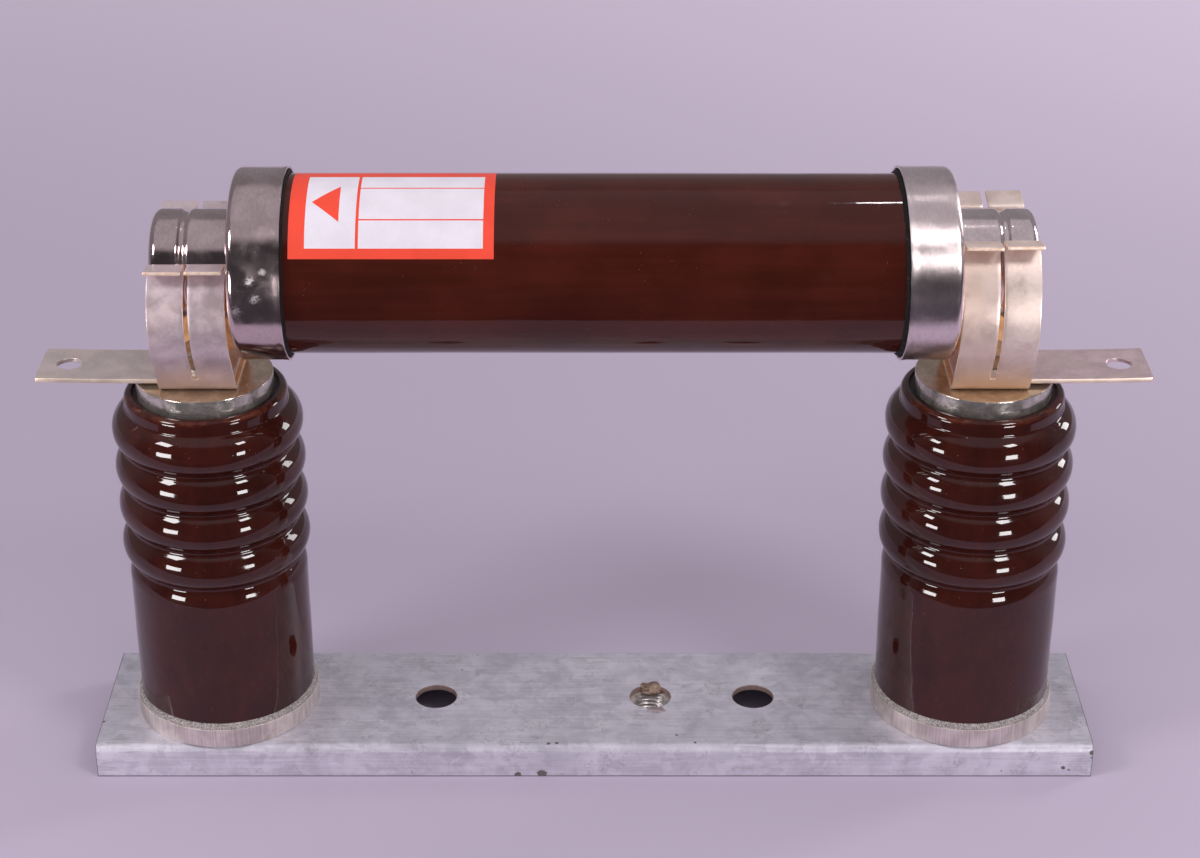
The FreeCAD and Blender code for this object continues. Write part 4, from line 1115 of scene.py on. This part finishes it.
def triangle():
    """The solid triangle, whose tip points at the striker's end."""
    tip_x, length, middle, half_angle, steps, columns = -112.4, 11.0, 64.5, 14.8, 10, 16
    points = []
    for k in range(1, steps + 1):
        for column in range(columns + 1):
            turn = 2 * column / columns - 1
            angle = middle + half_angle * turn * k / steps
            points.append(on_tube(tip_x + length * k / steps, angle, 0.235))
    tip = len(points)
    points.append(on_tube(tip_x, middle, 0.235))
    faces = [(tip, j, j + 1) for j in range(columns)]
    faces += [tuple(reversed(face)) for face in sheet_faces(steps - 1, columns)]
    return points, faces


def label_mesh():
    """Red bordered paper label with white panels and a solid triangle."""
    left, right, low, high = -121.2, -39.6, 26.0, 104.0
    low_edge, high_edge, red, white = 32.5, 93.0, 0, 1
    sheets = [(red, patch(left, right, low, high, 0.16, 40, 36))]
    sheets.append((white, patch(-114.7, -94.6, low_edge, high_edge, 0.20, 12, 30)))
    for bottom, top in ((low_edge, 50.7), (51.7, 77.0), (78.0, high_edge)):
        sheets.append((white, patch(-93.4, -43.9, bottom, top, 0.20, 26, 10)))
    sheets.append((red, triangle()))
    points, faces, colors = [], [], []
    for color, (more, quads) in sheets:
        start = len(points)
        points += more
        faces += [tuple(start + i for i in quad) for quad in quads]
        colors += [color] * len(quads)
    mesh = mesh_from("label", points, faces, 80)
    mesh.polygons.foreach_set("material_index", colors)
    return mesh


label = piece("label", label_mesh(), "fuse_link", "tube_glaze")
label.data.materials.append(print_ink("label_red", (0.83, 0.065, 0.030), 1))
label.data.materials.append(print_ink("label_white", (0.74, 0.70, 0.76), 2))


# Base channel
def channel_mesh():
    """The folded channel as a closed section, extruded in short steps."""
    half, wall, inner, nick, step = CHANNEL_HALF, SHEET, 1.5, 0.15, 6
    outer = inner + wall
    bend_y, bend_z = half - outer, BASE_TOP - outer
    right = [(half, nick), (half, 5.0)] + arc(bend_y, bend_z, outer, 0, 90, 10)
    left = [(-y, z) for y, z in reversed(right)]
    inside = [(wall - half, nick), (wall - half, 5.0)]
    inside += [(-y, z) for y, z in arc(bend_y, bend_z, inner, 0, 90, 6)]
    under = inside + [(-y, z) for y, z in reversed(inside)]
    section = right + left + [(nick - half, 0.0), (wall - half - nick, 0.0)] + under
    section += [(half - wall + nick, 0.0), (half - nick, 0.0)]
    stations = [-CHANNEL_END, 0.2 - CHANNEL_END] + [step * k for k in range(-36, 37)]
    stations += [CHANNEL_END - 0.2, CHANNEL_END]
    points = [(px, y, z) for px in stations for y, z in section]
    count = len(section)
    faces = bands(len(stations), count, closed=False)
    faces.append(tuple(range(count)))
    faces.append(tuple((len(stations) - 1) * count + k for k in reversed(range(count))))
    return outward(mesh_from("channel", points, faces))


def hole_cutters():
    """Cylinders through the sheet, for the mounting, earth and post holes."""
    work = bmesh.new()
    holes = [(hole_x, HOLE_R) for hole_x in (-HOLE_X, EARTH_X, HOLE_X)]
    holes += [(-SUPPORT_X, POST_BOLT_R), (SUPPORT_X, POST_BOLT_R)]
    for hole_x, radius in holes:
        bmesh.ops.create_cone(
            work,
            cap_ends=True,
            segments=96,
            radius1=radius * MM,
            radius2=radius * MM,
            depth=10 * MM,
            matrix=Matrix.Translation((hole_x * MM, 0, (BASE_TOP - SHEET / 2) * MM)),
        )
    mesh = bpy.data.meshes.new("cutters")
    work.to_mesh(mesh)
    work.free()
    obj = bpy.data.objects.new("cutters", mesh)
    scene.collection.objects.link(obj)
    return obj


channel = piece("channel", channel_mesh(), "fuse_base", "galvanised_sheet", "base_channel")
cutter = hole_cutters()
cut = channel.modifiers.new("holes", "BOOLEAN")
cut.operation = "DIFFERENCE"
cut.solver = "EXACT"
cut.object = cutter
drilled = evaluated_mesh(channel)
channel.modifiers.clear()
channel.data = smooth(drilled, 30)
bpy.data.objects.remove(cutter)
soften_edges(channel, 0.25, 50)
drilled.materials.clear()
drilled.materials.append(galvanised("zinc_sheet"))


# Earth nut, its thread and welds
def nut_mesh():
    """Hexagon nut with a real helical thread, M16."""
    bottom, top = 0.5, 13.5
    across, minor, deep, pitch = 24.0, 6.92, 1.0, 2.0
    steps, levels = 96, 105
    reach = across / 2

    def ring(radius_at, z):
        angles = [2 * math.pi * k / steps for k in range(steps)]
        places = [(radius_at(angle), angle) for angle in angles]
        return [(EARTH_X + r * math.cos(angle), r * math.sin(angle), z) for r, angle in places]

    def hexagon(angle):
        step = math.pi / 3
        return reach / math.cos((angle + step / 2) % step - step / 2)

    def rounded(angle):
        return min(hexagon(angle) - 0.25, reach + 0.5)

    def face(angle):
        return hexagon(angle) - 1.4

    def thread(z):
        fade = min(1.0, (z - bottom) / 0.8, (top - z) / 0.8)

        def radius_at(angle):
            phase = (z / pitch - angle / (2 * math.pi)) % 1.0
            ridge = abs(phase * 2 - 1)
            shaped = min(1.0, max(0.0, (ridge - 0.12) / 0.76))
            return minor + deep * (shaped * fade + (1 - fade) * 0.8)

        return radius_at

    heights = [bottom + (top - bottom) * level / (levels - 1) for level in range(levels)]
    rings = [ring(thread(z), z) for z in heights]
    rings += [ring(face, top), ring(rounded, top - 0.2), ring(hexagon, top - 1.0)]
    rings += [ring(hexagon, bottom + 1.0), ring(rounded, bottom + 0.2), ring(face, bottom)]
    points = [point for one in rings for point in one]
    return outward(mesh_from("threaded_nut", points, bands(len(rings), steps)))


def weld_drop(name, centre, size, seed, material):
    """An uneven drop of weld."""
    work = bmesh.new()
    bmesh.ops.create_icosphere(work, subdivisions=5, radius=1.0)
    for v in work.verts:
        unit = v.co.copy()
        grow = 1 + 0.30 * noise.noise(unit * 1.4 + Vector((seed, 0, 0)))
        grow += 0.10 * noise.noise(unit * 4 + Vector((seed, 3, 0)))
        v.co = [(place + u * half * grow) * MM for place, u, half in zip(centre, unit, size)]
    mesh = bpy.data.meshes.new(name)
    work.to_mesh(mesh)
    work.free()
    piece(name, smooth(mesh, 180), "fuse_base", "plated_steel", material=material)


nut_steel = plain_metal("nut_steel", (0.90, 0.87, 0.86), (0.55, 0.50, 0.48), 0.25, 3.0, 0.75)
piece("threaded_nut", nut_mesh(), "fuse_base", "plated_steel", "earth_nut", material=nut_steel)
tack = weld_material("weld_tack")
weld_drop("weld_back", (EARTH_X + 0.6, 8.8, BASE_TOP - 1.4), (5.4, 3.9, 2.4), 3.0, tack)
spill = plain_metal("weld_spill", (0.42, 0.35, 0.37), (0.24, 0.19, 0.20), 0.35, 2.5, 0.4)
weld_drop("weld_front", (EARTH_X + 2.0, -10.9, BASE_TOP - 0.25), (4.4, 2.7, 0.75), 8.0, spill)

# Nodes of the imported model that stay
steel = plain_metal("fixing_steel", (0.60, 0.59, 0.57), (0.40, 0.39, 0.37), 0.28, 4.0)
brass = plain_metal("plate_brass", (0.66, 0.48, 0.25), (0.48, 0.33, 0.16), 0.28, 5.0)
spring = plain_metal("spring_wire", (0.46, 0.46, 0.47), (0.28, 0.28, 0.29), 0.25, 2.0)
stone = plain_mineral("socket_cement", (0.48, 0.44, 0.40), (0.28, 0.25, 0.22), 1.5, 0.85, 0.3)
kept = {
    "fixing_bolts": steel,
    "fixing_washers": steel,
    "clip_bolts": steel,
    "clip_washers": steel,
    "striker_housing": brass,
    "striker_pin": plain_metal("pin_brass", (0.70, 0.55, 0.30), (0.52, 0.38, 0.19), 0.2, 4.0),
    "fuse_elements": plain_metal("element_silver", (0.85, 0.84, 0.82), (0.66, 0.65, 0.63), 0.2, 3.0),
    "striker_spring": spring,
    "striker_wire": spring,
    "winding_core": plain_mineral("core_ceramic", (0.80, 0.77, 0.69), (0.66, 0.62, 0.54), 5.0, 0.7, 0.08),
    "quartz_sand": plain_mineral("packed_sand", (0.70, 0.64, 0.53), (0.42, 0.36, 0.28), 0.6, 0.9, 0.3),
}
for side, sign, x, seed in SIDES:
    kept[f"{side}_contact_plate"] = brass
    kept[f"{side}_cap_seal"] = seal_black(f"{side}_gasket_black")
    kept[f"{side}_foot_cement"] = cement(f"{side}_socket_cement")
    kept[f"{side}_top_cement"] = stone
for name, material in kept.items():
    nodes[name].data.materials.clear()
    nodes[name].data.materials.append(material)

# Floor
FLOOR_HALF = 6
floor_mesh = bpy.data.meshes.new("floor")
floor_corners = [(x * FLOOR_HALF, y * FLOOR_HALF, 0) for x, y in ((-1, -1), (1, -1), (1, 1), (-1, 1))]
floor_mesh.from_pydata(floor_corners, [], [(0, 1, 2, 3)])
floor = bpy.data.objects.new("floor", floor_mesh)
scene.collection.objects.link(floor)
paper = Paint("floor_paper")
fibre = paper.noise(0.9, 3, 0.6)
# painted light and shade: the floor is painted darker in a band just behind the object and much lighter
# far behind it
near = paper.blend(fibre, (0.515, 0.445, 0.560), (0.530, 0.458, 0.575))
middle = paper.blend(fibre, (0.470, 0.407, 0.510), (0.482, 0.418, 0.523))
painted_light_far = paper.blend(fibre, (0.770, 0.672, 0.808), (0.785, 0.685, 0.823))
floor_x, floor_y = paper.parts(paper.place)[:2]
paper.color = paper.blend(paper.steps(floor_y, -60, 250), near, middle)
paper.tint(paper.steps(floor_y, 250, 1450), painted_light_far)
# painted shade: the floor is painted darker towards the left
paper.tint(paper.steps(floor_x, 500, -500, 0.0, 0.14), (0.20, 0.17, 0.22))
# the table ends in front of the object; to what shines, the floor there is painted nearly black, a
# painted reflection of the dark room beyond it
shining = paper.output(paper.node("ShaderNodeLightPath"), "Is Glossy Ray")
paper.tint(shining * paper.steps(floor_y, -183, -198) * 0.93, (0.01, 0.01, 0.012))
paper.rough = 0.85
floor_mesh.materials.append(paper.finish(level=0.15))


# Lamps
def lamp(name, place, width, height, radiance, target=(0, 0, 0.12)):
    """A soft box that faces the object; the radiance is what a mirror would show of it."""
    data = bpy.data.lights.new(name, "AREA")
    data.shape = "RECTANGLE"
    data.size, data.size_y = width, height
    data.energy = math.pi * radiance * width * height
    data.color = (1.0, 0.97, 0.98)
    obj = bpy.data.objects.new(name, data)
    scene.collection.objects.link(obj)
    obj.location = Vector(place)
    obj.rotation_euler = (Vector(target) - Vector(place)).to_track_quat("-Z", "Y").to_euler()
    return obj


def receivers(name, obj):
    """A collection for light linking that holds one piece."""
    group = bpy.data.collections.new(name)
    group.objects.link(obj)
    return group


right_cap = bpy.data.objects["right_cap"]
for name, place, width, height, radiance in (
    ("key_left", (-0.82, -0.42, 0.86), 0.31, 0.40, 10),
    ("key_right", (0.80, -0.74, 1.34), 0.36, 0.50, 10),
    ("front_fill", (0.0, -1.65, 0.40), 1.5, 0.7, 1.6),
):
    lamp(name, place, width, height, radiance).visible_glossy = False
# smaller boxes that only show in what shines
but_right_cap = receivers("low_glint_receivers", right_cap)
but_right_cap.collection_objects[0].light_linking.link_state = "EXCLUDE"
for name, place, width, height in (
    ("glint_left", (-0.77, -0.40, 0.815), 0.25, 0.22),
    ("glint_right", (0.76, -0.70, 1.28), 0.30, 0.28),
    ("glint_low_left", (-0.85, -0.71, 0.15), 0.30, 0.27),
    ("glint_low_right", (0.61, -0.81, 0.15), 0.22, 0.27),
):
    glint = lamp(name, place, width, height, radiance=22)
    glint.visible_diffuse = False
    if "low" in name:
        glint.light_linking.receiver_collection = but_right_cap
lamp("rim_right", (1.52, 0.78, 0.68), 0.32, 0.70, radiance=10)
# a band of light that only the brushed right cap shows
band = lamp("cap_band", (0.80, -1.00, 0.74), 0.40, 0.34, radiance=14, target=(0.14, 0, 0.23))
band.visible_diffuse = False
band.light_linking.receiver_collection = receivers("cap_band_receivers", right_cap)
spotlight = lamp("ceiling_spot", (0.27, 0.39, 1.65), 0.04, 0.05, radiance=40, target=(0.12, 0, 0.26))
spotlight.visible_diffuse = False

# World: even soft light; what shines also shows the room, pale behind and overhead, dark in front
world = bpy.data.worlds.new("studio")
scene.world = world
world.use_nodes = True
studio = Graph(world.node_tree)
direction = studio.output(studio.node("ShaderNodeTexCoord"), "Generated")
world_y, world_z = studio.parts(direction)[1:]
rear = studio.steps(world_y, -0.45, 0.15)
overhead = studio.steps(world_z, 0.68, 0.84)
room = studio.most(rear * 0.5, overhead) * 0.43 + 0.05
glossy = studio.output(studio.node("ShaderNodeLightPath"), "Is Glossy Ray")
background = world.node_tree.nodes["Background"]
background.inputs["Color"].default_value = (0.98, 0.93, 1.0, 1)
studio.feed(background.inputs["Strength"], (1.0 - glossy) * 0.66 + room * glossy)

# Camera, fitted to the photo's view
FOCAL_PIXELS, PHOTO_WIDTH, PITCH = 2517.8, 1200, 27.39
CAMERA_PLACE = (0.00245, -0.94845, 0.64266)
camera_data = bpy.data.cameras.new("camera")
camera_data.sensor_width = 36.0
camera_data.lens = camera_data.sensor_width * FOCAL_PIXELS / PHOTO_WIDTH
camera_data.clip_end = 50
camera = bpy.data.objects.new("camera", camera_data)
camera.location = CAMERA_PLACE
camera.rotation_euler = (math.radians(90 - PITCH), 0, 0)
scene.collection.objects.link(camera)
scene.camera = camera
